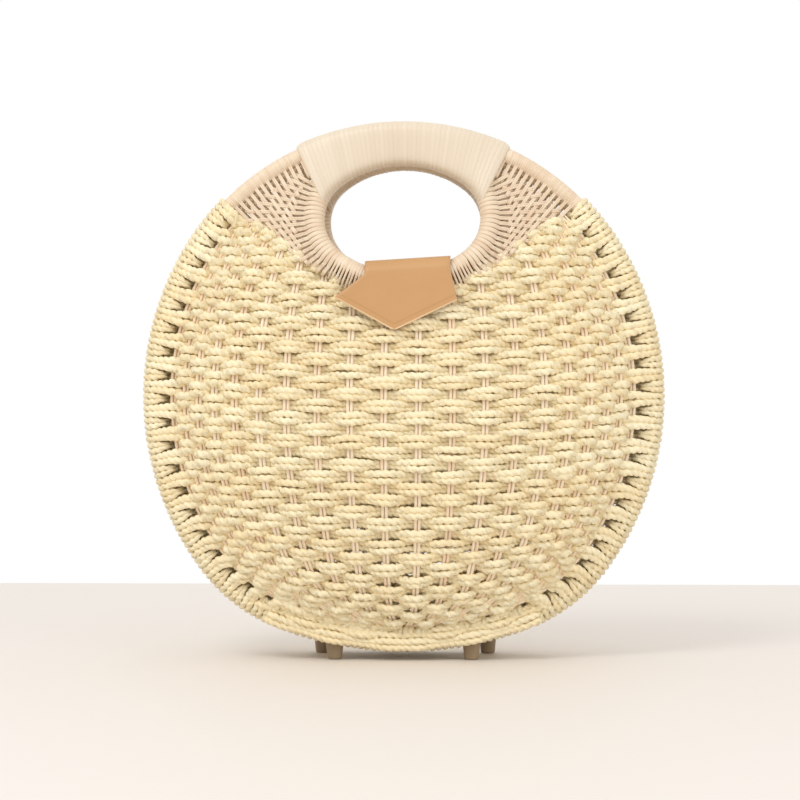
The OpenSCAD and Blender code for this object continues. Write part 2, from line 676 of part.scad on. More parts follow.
module snap_plate() {
    color("goldenrod") snap_place() translate([0, 0, -snap_plate_t]) cylinder(d = snap_d, h = snap_plate_t);
}

module snap_socket() {
    cup_t = snap_stack - snap_plate_t - seat_gap - snap_lift;
    color("goldenrod") snap_place() {
        translate([0, 0, -snap_plate_t - seat_gap - cup_t]) cylinder(d = snap_d, h = cup_t);
        translate([0, 0, -snap_stack - cord_d - 2 * snap_lift])
            cylinder(d = snap_post_d,
                h = snap_stack + cord_d + 2 * snap_lift - snap_plate_t - seat_gap - cup_t / 2);
    }
}

module snap_washer() {
    color("goldenrod") snap_place() translate([0, 0, -snap_stack - cord_d - 2 * snap_lift]) difference() {
        cylinder(d = 2 * snap_post_d, h = washer_t);
        translate([0, 0, -overrun]) cylinder(d = snap_post_d + 2 * fit_gap, h = washer_t + 2 * overrun);
    }
}

module to_back() {
    mirror([0, 1, 0]) children();
}

hoop(front_foot_x);  // front_hoop
to_back() hoop(back_foot_x);  // back_hoop
handle_ring();  // front_handle_ring
to_back() handle_ring();  // back_handle_ring
grip_wrap();  // front_grip_wrap
to_back() grip_wrap();  // back_grip_wrap
ring_wrap();  // front_ring_wrap
to_back() ring_wrap();  // back_ring_wrap
rim_cord(front_foot_x);  // front_rim_cord
to_back() rim_cord(back_foot_x);  // back_rim_cord
rim_cane();  // front_rim_cane
to_back() rim_cane();  // back_rim_cane
panel_with_snap_hole();  // front_panel
to_back() panel_with_loop_notch();  // back_panel
corner_weave();  // front_right_corner_weave
mirror([1, 0, 0]) corner_weave();  // front_left_corner_weave
to_back() corner_weave();  // back_right_corner_weave
to_back() mirror([1, 0, 0]) corner_weave();  // back_left_corner_weave
stakes();  // front_stakes
to_back() stakes();  // back_stakes
gusset();
gusset_stakes();
foot(front_foot_x);  // foot_front_right
mirror([1, 0, 0]) foot(front_foot_x);  // foot_front_left
to_back() foot(back_foot_x);  // foot_back_right
to_back() mirror([1, 0, 0]) foot(back_foot_x);  // foot_back_left
closure_strap();
strap_rivets();
strap_crease();
tab_leather();
tab_lining();
snap_plate();
snap_socket();
snap_washer();
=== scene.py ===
"""A round woven handbag: two rope panels on rattan hoops, wrapped handles, peg feet, a leather strap."""
import bpy
import numpy as np
from math import atan2, ceil, cos, degrees, pi, radians, sin, sqrt
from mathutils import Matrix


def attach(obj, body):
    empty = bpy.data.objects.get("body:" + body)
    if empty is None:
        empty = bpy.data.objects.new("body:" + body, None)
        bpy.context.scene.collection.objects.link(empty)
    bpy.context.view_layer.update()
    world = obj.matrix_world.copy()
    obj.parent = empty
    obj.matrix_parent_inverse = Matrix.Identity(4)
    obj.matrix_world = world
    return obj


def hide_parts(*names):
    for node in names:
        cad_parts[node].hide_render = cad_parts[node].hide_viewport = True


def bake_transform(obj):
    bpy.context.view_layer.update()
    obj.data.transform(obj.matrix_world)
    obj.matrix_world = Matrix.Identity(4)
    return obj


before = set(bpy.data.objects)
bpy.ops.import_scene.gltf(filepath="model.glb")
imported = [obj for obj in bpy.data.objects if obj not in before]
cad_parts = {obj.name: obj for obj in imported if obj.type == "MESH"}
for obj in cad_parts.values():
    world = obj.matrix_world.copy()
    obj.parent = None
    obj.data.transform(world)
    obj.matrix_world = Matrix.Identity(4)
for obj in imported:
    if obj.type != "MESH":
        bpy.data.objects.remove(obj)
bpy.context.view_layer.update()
rng = np.random.default_rng(7)
MM = 0.001

# Camera, floor and light
# The bag stands on a plain pale table with white behind it, under soft light from above.
# The lens is long and at about half of the bag's height, as in the photograph.
eye_height, eye_distance, aim_y, turn = 160, 1500, -18, radians(-2.0)
camera = bpy.data.objects.new("camera", bpy.data.cameras.new("camera"))
bpy.context.scene.collection.objects.link(camera)
bpy.context.scene.camera = camera
camera.data.lens, camera.data.sensor_width = 120, 36
camera.data.shift_x, camera.data.shift_y = -0.0038, -0.0316
camera_place = (-eye_distance * sin(turn), aim_y - eye_distance * cos(turn), eye_height)
camera.location = [c * MM for c in camera_place]
camera.rotation_euler = (radians(90), 0, -turn)
bpy.context.scene.view_settings.view_transform = "Standard"


class Thread:
    """One output of a material's nodes. Arithmetic on it adds Math nodes to the same material."""

    def __init__(self, tree, socket=None):
        self.tree, self.socket = tree, socket

    def node(self, kind, settings, values, out=0):
        """Adds a node. Its inputs are set to values or linked to threads."""
        made = self.tree.nodes.new("ShaderNode" + kind)
        for key, value in settings.items():
            if key == "stops":
                ramp = made.color_ramp.elements
                while len(ramp) < len(value):
                    ramp.new(1)
                for stop, (place, colour) in zip(ramp, value):
                    stop.position, stop.color = place, (*colour, 1)
            else:
                setattr(made, key, value)
        for key, value in values.items():
            if isinstance(value, Thread):
                self.tree.links.new(value.socket, made.inputs[key])
            else:
                made.inputs[key].default_value = value
        return Thread(self.tree, made.outputs[out])

    def maths(self, operation, other):
        """A Math node on this and another value."""
        return self.node("Math", {"operation": operation}, {0: self, 1: other})

    def __add__(self, other):
        return self.maths("ADD", other)

    __radd__ = __add__

    def __sub__(self, other):
        return self.maths("SUBTRACT", other)

    def __rsub__(self, other):
        return self.node("Math", {"operation": "SUBTRACT"}, {0: other, 1: self})

    def __mul__(self, other):
        return self.maths("MULTIPLY", other)

    __rmul__ = __mul__

    def mix(self, a, b):
        """The colour a where this is 0, and b where it is 1."""
        a, b = (c if isinstance(c, Thread) else (*c, 1) for c in (a, b))
        return self.node("Mix", {"data_type": "RGBA"}, {0: self, 6: a, 7: b}, out=2)

    def steps(self, *stops):
        """This value through a ramp of grey stops, each a place and a level."""
        return self.node("ValToRGB", {"stops": [(p, (v, v, v)) for p, v in stops]}, {0: self})

    def to(self, shader, name):
        """Links this to an input of the shader."""
        self.tree.links.new(self.socket, shader.inputs[name])

    def raises(self, shader, strength, distance):
        """Uses this as the height of the shader's bump."""
        values = {"Strength": strength, "Distance": distance, "Height": self}
        self.node("Bump", {}, values).to(shader, "Normal")


def tint(r, g, b):
    """A colour as a screen shows it, from 0 to 255, for a shader."""
    return tuple((c / 255) ** 2.2 for c in (r, g, b))


def new_finish(name, colour, roughness, metallic=0.0):
    """A material, its Principled shader with plain values, and a Thread to add its nodes with."""
    material = bpy.data.materials.new(name)
    material.use_nodes = True
    shader = material.node_tree.nodes["Principled BSDF"]
    shader.inputs["Base Color"].default_value = (*colour, 1)
    shader.inputs["Roughness"].default_value = roughness
    shader.inputs["Metallic"].default_value = metallic
    return material, shader, Thread(material.node_tree)


table_reach, table_back = 2500, 520
table_finish = new_finish("table_top", (0.8, 0.74, 0.68), 0.6)[0]
table_mesh = bpy.data.meshes.new("table")
across = ((-1, -table_reach), (1, -table_reach), (1, table_back), (-1, table_back))
table_mesh.from_pydata([(side * table_reach * MM, y * MM, 0) for side, y in across], [], [(0, 1, 2, 3)])
table_mesh.materials.append(table_finish)
table = bpy.data.objects.new("table", table_mesh)
bpy.context.scene.collection.objects.link(table)

world = bpy.data.worlds.new("room")
bpy.context.scene.world = world
world.use_nodes = True
sky = Thread(world.node_tree)
rays = ("Is Camera Ray", "Is Glossy Ray", "Is Transmission Ray")
seen, mirrored, through = (sky.node("LightPath", {}, {}, out=ray) for ray in rays)
shown = seen.maths("MAXIMUM", mirrored).maths("MAXIMUM", through)
ambient = 0.95
backdrop = world.node_tree.nodes["Background"]
backdrop.inputs["Color"].default_value = (1, 1, 1, 1)
(ambient + shown * (1 - ambient)).to(backdrop, "Strength")
bag_middle_z = 0.15


def soft_lamp(name, x, y, z, size, watts):
    """A round lamp that faces the bag's middle. Its place and size are in metres."""
    lamp = bpy.data.objects.new(name, bpy.data.lights.new(name, "AREA"))
    lamp.data.shape, lamp.data.size, lamp.data.energy = "DISK", size, watts
    lamp.location = (x, y, z)
    lamp.rotation_euler = (atan2(sqrt(x**2 + y**2), z - bag_middle_z), 0, atan2(-y, -x) - pi / 2)
    bpy.context.scene.collection.objects.link(lamp)


soft_lamp("key", -0.9, -1.5, 1.9, size=1.0, watts=16)
soft_lamp("fill", 1.4, -1.6, 0.9, size=1.2, watts=4)

# The outline and the dome
# Each panel is a shallow dome on a bent hoop. Its outline is four tangent arcs on each side,
# a little flatter at the base than at the top. All sizes are in millimetres.
middle_z, half_width, side_over_top, base_over_corner = 148.008, 147, 20, 102
hoop_y, hoop_r, cord_r, cane_t = 18, 3.5, 1.7, 1.2
rim_r = hoop_r + 2 * cord_r
# Where one arc meets the next: its angle, with the cosine and sine that the part's source uses
top_join, top_cos, top_sin = 32.5213, 0.8432, 0.5376
side_join, side_cos, side_sin = -36.8699, 0.8, 0.6
base_join, base_cos, base_sin = -69.3904, 0.352, 0.936
side_shift = side_over_top * top_cos
side_radius = half_width + side_shift
top_cz = side_over_top * top_sin
corner_cx = base_over_corner * base_cos
side_over_corner = (corner_cx + side_shift) / side_cos
corner_cz = -side_sin * side_over_corner
corner_radius = side_radius - side_over_corner
base_radius = corner_radius + base_over_corner
base_cz = corner_cz + base_over_corner * base_sin
top_reach = top_cz + side_radius - side_over_top
# Each arc: centre x, centre z, outer radius, and its angles from the top down, on the right
rim_arcs = [
    (0, top_cz, side_radius - side_over_top, 90, top_join),
    (-side_shift, 0, side_radius, top_join, side_join),
    (corner_cx, corner_cz, corner_radius, side_join, base_join),
    (0, base_cz, base_radius, base_join, -90),
]
rope_angle, grip_angle = 45, 65
rim_ends = np.cumsum([radians(a0 - a1) * (r - rim_r) for _, _, r, a0, a1 in rim_arcs])
rim_top_r = rim_arcs[0][2] - rim_r
rope_start = radians(90 - rope_angle) * rim_top_r


def rim_point(s, inset, y):
    """A point of the right half, with its outward normal, at a length s down the hoop from its top."""
    s = np.clip(s, 0, rim_ends[-1] - 1e-6)
    k = np.searchsorted(rim_ends, s, side="right")
    cx, cz, r, a0, _ = np.array(rim_arcs)[k].T
    angle = np.radians(a0) - (s - np.concatenate([[0], rim_ends])[k]) / (r - rim_r)
    n = np.stack([np.cos(angle), 0 * angle, np.sin(angle)], -1)
    p = np.stack([cx + (r - inset) * np.cos(angle), y + 0 * angle, cz + (r - inset) * np.sin(angle)], -1)
    return p, n


def inset_of(x, z):
    """How far a point of the right half lies inside the outline."""
    out = np.full(np.shape(x), 1e9)
    for cx, cz, r, a0, a1 in rim_arcs:
        a = np.degrees(np.arctan2(z - cz, x - cx))
        ok = (a <= a0 + 1e-6) & (a >= a1 - 1e-6)
        out = np.where(ok, np.minimum(out, r - np.hypot(x - cx, z - cz)), out)
    return out


cord_gap, diagonal = 0.3, 0.7071
edge_offset = (rim_r + cord_r + cord_gap) * diagonal
dome_inset = rim_r + edge_offset
belly_z, belly_depth = -28, 31
crown_power, edge_power, top_power = 2.2, 0.65, 1.5
round_hoop_gap = 2
dome_top_z = top_reach - dome_inset
joint_points = [
    (cx + (r - dome_inset) * cos(radians(a1)), cz + (r - dome_inset) * sin(radians(a1)))
    for cx, cz, r, _, a1 in rim_arcs[:3]
]
joint_headings = [atan2(z - belly_z, x) for x, z in joint_points]


def dome_share(x, z):
    """0 at the belly's deepest point and 1 at the dome's edge."""
    x, z = np.abs(x), np.asarray(z, float)
    phi = np.arctan2(z - belly_z, x)
    k = np.select([phi > h for h in joint_headings], [0, 1, 2], 3)
    arcs = np.array(rim_arcs)[k]
    dx, dz, r = arcs[..., 0], arcs[..., 1] - belly_z, arcs[..., 2] - dome_inset
    along = dx * np.cos(phi) + dz * np.sin(phi)
    reach = along + np.sqrt(np.maximum(r**2 - dx**2 - dz**2 + along**2, 0))
    return np.hypot(x, z - belly_z) / reach


def dome_y(x, z):
    """The middle surface of the front panel; past its edge it goes on round the hoop."""
    s = dome_share(x, z)
    up = np.clip((z - belly_z) / (dome_top_z - belly_z), 0, 1)
    bulge = belly_depth * (1 - np.clip(s, 0, 1) ** crown_power) ** edge_power * (1 - up**top_power)
    dome = -(hoop_y + edge_offset + bulge)
    i = np.clip(inset_of(np.abs(x), z), 0, dome_inset)
    reach = rim_r + round_hoop_gap
    return np.where(s < 1, dome, -hoop_y - np.sqrt(np.maximum(reach**2 - (i - rim_r) ** 2, 0)))


def unit(v):
    """Vectors, each made 1 long."""
    return v / np.linalg.norm(v, axis=-1, keepdims=True)


def dome_normal(x, z, h=1.2):
    """The direction out of the dome, from its slope over a short way h."""
    fx = (dome_y(x + h, z) - dome_y(x - h, z)) / (2 * h)
    fz = (dome_y(x, z + h) - dome_y(x, z - h)) / (2 * h)
    return unit(np.stack([fx, -np.ones_like(fx), fz], -1))


# Stakes
# Pairs of thin round rods stand behind the rope and fan from the middle. The rope goes over
# one pair and under the next. They are peeled rattan, paler and pinker than the rope.
stake_r, pair_shift = 0.95, 1.02
stake_reach, stake_step, stake_pairs, edge_pair_push = 125, 8.8, 10, 6.0
stake_rim_gap, stake_top_gap, stake_low, stake_high = 11.5, 0.5, -150, 140
weave_amp = stake_r + 1.9
least_follow, more_follow = 0.4, 0.65
end_share = 0.3  # how much of its section a strand keeps at its cut ends
bag_sides = (("front", False), ("back", True))


def half_w(z):
    """Half of the dome's width at a height."""
    z = np.asarray(z, float)
    k = np.select([z > joint_z for _, joint_z in joint_points], [0, 1, 2], 3)
    arcs = np.array(rim_arcs)[k]
    return arcs[..., 0] + np.sqrt(np.maximum((arcs[..., 2] - dome_inset) ** 2 - (z - arcs[..., 1]) ** 2, 0))


widest = float(half_w(0.0))
stake_rest_x = [
    stake_reach * sin(radians(i * stake_step)) + edge_pair_push * (i / (stake_pairs - 0.5)) ** 12
    for i in np.arange(stake_pairs) + 0.5
]


def stake_x(i, z):
    """How far pair i stands from the middle at a height; the outer pairs follow the outline more."""
    follow = least_follow + more_follow * stake_rest_x[i] / widest
    return stake_rest_x[i] * (np.maximum(half_w(z), 1) / widest) ** follow


def lengths_along(points):
    """How far each point lies along its path."""
    return np.concatenate([[0], np.cumsum(np.linalg.norm(np.diff(points, axis=0), axis=1))])


def resampled(points, step, *more):
    """Points at even lengths along a path, and the same of other values that go with it."""
    p = np.asarray(points, float)
    s = lengths_along(p)
    t = np.linspace(0, s[-1], max(3, int(s[-1] / step) + 1))
    return [np.stack([np.interp(t, s, c) for c in np.asarray(v, float).T], -1) for v in (p, *more)]


def smooth_curve(points, rounds=2):
    """Corner cutting, with the ends kept."""
    p = np.asarray(points, float)
    for _ in range(rounds):
        a, b = p[:-1] * 0.75 + p[1:] * 0.25, p[:-1] * 0.25 + p[1:] * 0.75
        p = np.concatenate([p[:1], np.stack([a, b], 1).reshape(-1, p.shape[1]), p[-1:]])
    return p


def carried_frames(p, up=None):
    """Tangents and two normals along a path. Without up, the normals are carried without twist."""
    t = unit(np.gradient(p, axis=0))
    if up is None:
        n = np.empty_like(t)
        n[0] = unit(np.cross(t[0], [0.3, 0.5, 0.8]))
        for k in range(1, len(t)):
            n[k] = unit(n[k - 1] - t[k] * (n[k - 1] @ t[k]))
    else:
        n = unit(up - t * np.sum(up * t, axis=1, keepdims=True))
    return t, n, np.cross(t, n)


def tube_faces(rows, sides):
    """Four-sided faces between rings of points, and the row and side of each face's corners."""
    j, k = (v.ravel() for v in np.meshgrid(np.arange(rows - 1), np.arange(sides), indexing="ij"))
    a, b = j * sides + k, j * sides + (k + 1) % sides
    corners = np.stack([j, k, j, k + 1, j + 1, k + 1, j + 1, k], -1).reshape(-1, 4, 2)
    return np.stack([a, b, b + sides, a + sides], -1), corners


def new_piece(
    name, verts, faces, finish, body="basket", bakes=None, lies=None, tones=None, flip=False
):
    """An object from arrays in millimetres, with z from the bag's middle, that rides on a body.
    A flipped one is mirrored from the front to the back."""
    verts, faces = np.asarray(verts), np.asarray(faces)
    if flip:
        verts, faces = verts * [1, -1, 1], faces[:, ::-1]
    mesh = bpy.data.meshes.new(name)
    mesh.vertices.add(len(verts))
    verts = (verts + [0, 0, middle_z]) * MM
    mesh.vertices.foreach_set("co", verts.astype(np.float32).ravel())
    mesh.loops.add(faces.size)
    mesh.loops.foreach_set("vertex_index", faces.astype(np.int32).ravel())
    mesh.polygons.add(len(faces))
    mesh.polygons.foreach_set("loop_start", np.arange(0, faces.size, faces.shape[1], dtype=np.int32))
    mesh.update(calc_edges=True)
    for layer, values in (("lie", lies), ("OFBake", bakes)):
        if values is not None:
            values = values[:, ::-1] if flip else values
            mesh.uv_layers.new(name=layer).uv.foreach_set("vector", values.astype(np.float32).ravel())
    if tones is not None:
        tone = mesh.attributes.new("tone", "FLOAT", "POINT")
        tone.data.foreach_set("value", np.asarray(tones, np.float32))
    mesh.shade_smooth()
    mesh.materials.append(finish)
    piece = bpy.data.objects.new(name, mesh)
    bpy.context.scene.collection.objects.link(piece)
    if body:
        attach(piece, body)
    return piece


def wound_piece(name, strands, section, finish, twist=0.0, flip=False, painted_side_shade=0.0):
    """One mesh of many strands, each a path with a section swept along it. A strand is a dict
    with points and tone, and maybe up, thick, wide and phase. The last argument gives each side
    of the section a share of painted shade, which is taken off its tone."""
    sides, girth = len(section), np.linalg.norm(section - np.roll(section, 1, 0), axis=1).sum()
    verts, faces, lies, bakes, tones, base = [], [], [], [], [], 0
    longest = max(lengths_along(strand["points"])[-1] for strand in strands)
    columns = max(1, round(sqrt(len(strands) * girth / longest)))
    rows = ceil(len(strands) / columns)
    for number, strand in enumerate(strands):
        p = np.asarray(strand["points"], float)
        n = len(p)
        _, side, other = carried_frames(p, strand.get("up"))
        run = lengths_along(p)
        angle = strand.get("phase", 0.0) + (2 * pi * run / twist if twist else 0 * run)
        thick, wide = (np.broadcast_to(strand.get(key, 1.0), (n,)).copy() for key in ("thick", "wide"))
        thick[[0, -1]] *= end_share
        wide[[0, -1]] *= end_share
        c, s = np.cos(angle)[:, None], np.sin(angle)[:, None]
        u = c * section[:, 0] * thick[:, None] - s * section[:, 1] * wide[:, None]
        v = s * section[:, 0] * thick[:, None] + c * section[:, 1] * wide[:, None]
        rings = p[:, None] + u[..., None] * side[:, None] + v[..., None] * other[:, None]
        verts.append(rings.reshape(-1, 3))
        strand_faces, corners = tube_faces(n, sides)
        faces.append(base + strand_faces)
        lie = np.stack([run[corners[..., 0]], corners[..., 1] / sides], -1)
        lies.append(lie / 10)
        cell = np.array([number % columns, number // columns])
        bakes.append((lie * [0.98 / run[-1], 0.9] + cell) / [columns, rows])
        tones.append(np.tile(strand["tone"] - painted_side_shade * np.ones(sides), n))
        base += n * sides
    verts, faces, lies, bakes, tones = (np.concatenate(parts) for parts in (verts, faces, lies, bakes, tones))
    return new_piece(name, verts, faces, finish, "basket", bakes, lies, tones, flip)


def own_tone(thread):
    """The tone that each strand of a piece carries, less the painted shade of the rope's valleys and the
    grip's seams.
    """
    return thread.node("Attribute", {"attribute_name": "tone"}, {}, out="Fac")


def grain(thread, scale, detail=3.0, stretch=(1, 1, 1)):
    """Noise in the piece's own place, stretched along its axes."""
    place = thread.node("TexCoord", {}, {}, out="Object")
    place = thread.node("Mapping", {}, {"Vector": place, "Scale": stretch})
    return thread.node("TexNoise", {}, {"Vector": place, "Scale": scale, "Detail": detail})


stake_finish, shader, t = new_finish("peeled_rattan", tint(252, 234, 208), 0.5)
streak = grain(t, 60, 4, (6, 6, 0.6))
shade = streak * 0.6 + own_tone(t) * 0.5
shade.mix(tint(238, 208, 172), tint(255, 242, 220)).to(shader, "Base Color")
streak.raises(shader, 0.3, 0.0003)

# The handle ring leans to the front. Its sides and its top and bottom are four tangent arcs.
ring_side_radius, ring_over_side, ring_lean, ring_rod_r, ring_rod_gap = 32, 29, radians(17), 5, 3.7
ring_side_cx, ring_arc_cz = 0.6 * ring_over_side, -0.8 * ring_over_side
ring_arc_radius = ring_side_radius + ring_over_side
ring_half_h = ring_arc_radius + ring_arc_cz
ring_top_z = top_reach - rim_r - hoop_r - ring_rod_gap - ring_rod_r
ring_middle = np.array([0, -hoop_y - ring_half_h * sin(ring_lean), ring_top_z - ring_half_h * cos(ring_lean)])
caned_r = ring_rod_r + cane_t
ring_joint = degrees(atan2(0.8, 0.6))
ring_front = np.array([0, -cos(ring_lean), sin(ring_lean)])


def ring_vector(x, w):
    """A vector of the ring's own plane, w up it, in the bag's frame."""
    return np.stack([x + 0 * w, w * sin(ring_lean) + 0 * x, w * cos(ring_lean) + 0 * x], -1)


def ring_place(angle, more=0.0):
    """A point of the ring at a heading from its arcs' centres, in degrees from the right side
    up, and the outward direction there."""
    angle = np.asarray(angle, float)
    side = np.abs(angle) <= ring_joint
    cx = np.where(side, ring_side_cx, 0.0)
    cw = np.where(side, 0.0, np.where(angle > 0, ring_arc_cz, -ring_arc_cz))
    r = np.where(side, ring_side_radius, ring_arc_radius)
    out = ring_vector(np.cos(np.radians(angle)), np.sin(np.radians(angle)))
    return ring_vector(cx, cw) + ring_middle + out * (r + more)[..., None], out


rope_ring_gap, edge_end_x, edge_end_rise = 0.2, 150, 34
rope_corner_x = (rim_arcs[0][2] - dome_inset) * cos(radians(rope_angle))
rope_corner_z = top_cz + (rim_arcs[0][2] - dome_inset) * sin(radians(rope_angle))
under_ring = ring_place(np.linspace(-90, -ring_joint, 12), caned_r + rope_ring_gap + cord_r)[0]
edge_xs = np.array([*under_ring[:, 0], rope_corner_x, edge_end_x])
edge_zs = np.array([*under_ring[:, 2], rope_corner_z, rope_corner_z + edge_end_rise])


def upper_edge_z(x):
    """Height of the rope panel's upper edge, down from the rim to the ring and under its bar."""
    return np.interp(np.abs(x), edge_xs, edge_zs)


around = np.arange(8) * 2 * pi / 8
rod = np.stack([stake_r * np.cos(around), stake_r * np.sin(around)], -1)
for side_name, flip in bag_sides:
    stakes = []
    for i in range(stake_pairs):
        z = np.linspace(stake_low, stake_high, 600)
        x = stake_x(i, z)
        keep = (inset_of(x, z) > stake_rim_gap) & (z < upper_edge_z(x) + stake_top_gap)
        z, x = z[keep], x[keep]
        for shift in (-pair_shift, pair_shift):
            p = np.stack([x + shift, dome_y(x, z), z], -1) - dome_normal(x, z) * weave_amp
            for mirror in (1, -1):
                stakes.append({"points": resampled(p * [mirror, 1, 1], 5)[0], "tone": rng.random()})
    piece = wound_piece(f"{side_name}_stake_rods", stakes, rod, stake_finish, flip=flip)
    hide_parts(f"{side_name}_stakes")

# Rope rows, rim turns and gusset
# Each row is two twisted paper ropes that cross the panel over and under the stake pairs, go
# round the hoop, and cross the gusset to the other panel. Every second row dives behind the
# last stake, which leaves the row of dark holes inside the rim.
row_pitch, first_full_row, first_full_z, even_rows = 6.5, 8, 53.0, 33
row_station_step, row_station_start = 6.85, 4.0
rope_r, squeezed, fuller = 1.95, 0.93, 0.15
over_spread, cross_spread, under_spread, cross_roll = 1.95, 1.5, 1.5, 0.8
tongue_l, tongue_narrows, tongue_roll, tongue_dip, tongue_spread = 6, -0.3, 1.5, 4.5, 0.6
rim_swells, swell_inset, swell_over = 0.17, 7, 4.5
row_wobble, row_stray, row_bend_power = 0.16, 0.32, 2.2
full_from, full_over, full_spread = 0.45, 0.4, 0.4
ply_pitch = 8.0
row_mid_z = [first_full_z + (first_full_row - r) * row_pitch for r in range(even_rows)]
for step in (5.6, 5.3, 5.0, 4.7, 4.3, 4.0):
    row_mid_z.append(row_mid_z[-1] - step)
row_count = len(row_mid_z)
weave_end_inset = 15.0
ply_angles = np.radians([0, 40, 90, 140, 180, 220, 270, 320])
ply_radii = rope_r * np.array([1.09, 1.06, 0.82, 1.06, 1.09, 1.06, 0.82, 1.06])
ply_section = np.stack([ply_radii * np.cos(ply_angles), ply_radii * np.sin(ply_angles)], -1)
# The valleys between the two plies are darker in colour: painted shade.
ply_valley_shade = np.array([0, 0, 0.35, 0, 0, 0, 0.35, 0])
base_row_insets, base_row_float, base_row_step, base_row_starts = (10.8, 5.0), 15.8, 9, 7
base_row_lift, base_row_wave, base_row_low = 1.5, 1.4, 0.72
# The two cords of a row at the panel's upper edge: how far each runs back along it, and its height
edge_runs = {1: (8.6, 7.4, 5.6, 3.8, 2.0), -1: (5.4, 4.2, 2.8, 1.4)}
edge_heights, edge_slant = {1: 0.6, -1: -1.6}, 0.72
gusset_stake_y = 5.4
gusset_stake_inset = rim_r + weave_amp


def eased(share):
    """A share from 0 to 1 with a smooth start and end."""
    return share * share * (3 - 2 * share)


def woven(steps):
    """1 in front of a stake pair and -1 behind the next, with flat crests."""
    return np.tanh(1.5 * np.cos(pi * steps)) / np.tanh(1.5)


def hoop_turn(phi):
    """Inset and y on a cord's circle round the hoop: 0 is its front, 90 its outside, 180 its back."""
    r = hoop_r + cord_r
    return rim_r - r * sin(radians(phi)), -hoop_y - r * cos(radians(phi))


def row_station(r):
    """The station on the hoop of row r's turn."""
    return rope_start + row_station_start + row_station_step * r


def gusset_route(gusset_over):
    """Inset and y of a cord from the gusset's middle to the hoop's front crest."""
    lift = weave_amp if gusset_over else -weave_amp
    route = [
        (gusset_stake_inset - lift, 0),
        (gusset_stake_inset - lift * 0.8, -1.5),
        (gusset_stake_inset + lift * 0.9, -gusset_stake_y),
        (gusset_stake_inset + lift * 0.3, -9),
    ]
    route += [hoop_turn(phi) for phi in (165, 140, 110, 80, 50, 25, 5)]
    return [(*place, 1.0, 0.0) for place in route]


def round_hoop(s, sign, over, gusset_over, bunch=None):
    """A cord's points on the right side, from the panel out round the hoop to the gusset's middle.
    Each place of its route is an inset, a y, a share of its sideways shift, and one of depth.
    Where it dives behind the last stake, the two cords of a row draw together into a tongue."""
    route = gusset_route(gusset_over)
    if bunch is not None:
        route += [(10.0, -24.3, 0.95, 0), (12.0, -25.4, 0.8, 0)]
        route += [(13.8, -24.0, 0.65, 0), (15.2, -21.0, 0.6, 0)]
    elif over:
        route += [(rim_r + 2.8, -24.6, 1.0, 0), (11.2, -26.4, 1.0, 0), (13.2, -28.0, 1.0, 0)]
    else:
        route += [(8.8, -24.4, 0.75, 0), (10.8, -25.2, 0.5, 0.1)]
        route += [(12.8, -24.0, 0.5, 0.3), (14.8, -18.0, 0.9, 1)]
    tongue = not over and bunch is None
    shift = -sign * cord_r if bunch is None else bunch
    points = []
    for inset, y, share, deep in route:
        p, _ = rim_point(s + shift * share, inset, y)
        inward = np.clip((inset - swell_inset) / swell_over, 0, 1)
        width = squeezed + (tongue_narrows if tongue else rim_swells) * inward
        points.append([*(p + [0, deep * sign * tongue_roll, 0]), width])
    return np.array(points[::-1])


def row_cord(r, sign, swap):
    """The path of one cord of row r across the panel, and its station on the hoop."""
    s = row_station(r)
    x_end, _, z_end = rim_point(s, weave_end_inset, 0)[0]
    wobble, stray = rng.normal(0, 1, 6), rng.normal(0, row_stray, (2, 40))
    x = np.linspace(-x_end, x_end, max(40, int(2 * x_end / 0.9)))
    away = np.abs(x / x_end) ** row_bend_power
    z = row_mid_z[r] + (z_end - row_mid_z[r]) * away
    sway = sum(wobble[k] * np.sin(x / (38 - 5 * k) + wobble[5 - k] * 3) for k in range(3))
    z = z + row_wobble * sway * (1 - away)
    pairs = np.stack([stake_x(i, z) for i in range(stake_pairs)])
    columns = np.concatenate([-pairs[::-1], pairs])
    numbers = np.arange(-stake_pairs, stake_pairs)
    passed = np.array([np.interp(place, crossed, numbers) for place, crossed in zip(x, columns.T)])
    weave = woven(passed + r + swap)
    n = dome_normal(x, z)
    full = eased(np.clip((np.abs(x) / x_end - full_from) / full_over, 0, 1))
    spread = np.interp(weave, [-1, 0, 1], [under_spread, cross_spread, over_spread]) + full_spread * full
    ends = eased(np.clip((np.abs(x) - (x_end - tongue_l)) / (tongue_l - 1), 0, 1))
    ends = np.where(weave < 0, ends, 0)
    spread = spread + (tongue_spread - spread) * ends
    stray = [np.interp(x, np.linspace(-x_end, x_end, 40), values) * (1 - ends) for values in stray]
    depth = (weave - 1) * weave_amp - tongue_dip * ends + stray[0] + sign * cross_roll * (1 - weave**2)
    sheet = np.stack([x, dome_y(x, z), z], -1)
    across = np.cross(unit(np.gradient(sheet, axis=0)), n)
    across *= np.sign(across[:, 2:3])
    path = sheet + n * depth[:, None] + across * (sign * spread + stray[1])[:, None]
    path[:, 1] += ends * sign * tongue_roll
    width = 1 + fuller * full + tongue_narrows * ends
    return x, z, np.concatenate([path, width[:, None]], 1), s


def laid_cord(*parts):
    """A strand from the parts of its path, whose fourth column is its width."""
    p = resampled(smooth_curve(resampled(np.concatenate(parts), 2.0)[0]), 0.95)[0]
    tone, phase = rng.random(), rng.random() * 6
    return {"points": p[:, :3], "thick": p[:, 3], "wide": p[:, 3], "tone": tone, "phase": phase}


def edge_tail(start, side, sign):
    """A cord's end at the panel's upper edge: it runs down the edge over the next row and tucks in."""
    run = np.array(edge_runs[sign])
    x = np.maximum(abs(start[0]) - run * edge_slant, 0)
    z = upper_edge_z(x) + edge_heights[sign]
    y = dome_y(x, z) + np.interp(np.arange(len(run)), [0, 1, 2, 9], [7.0, 3.5, -0.2, -0.6])
    return np.stack([x * side, y, z, 0 * x + 0.95], -1)


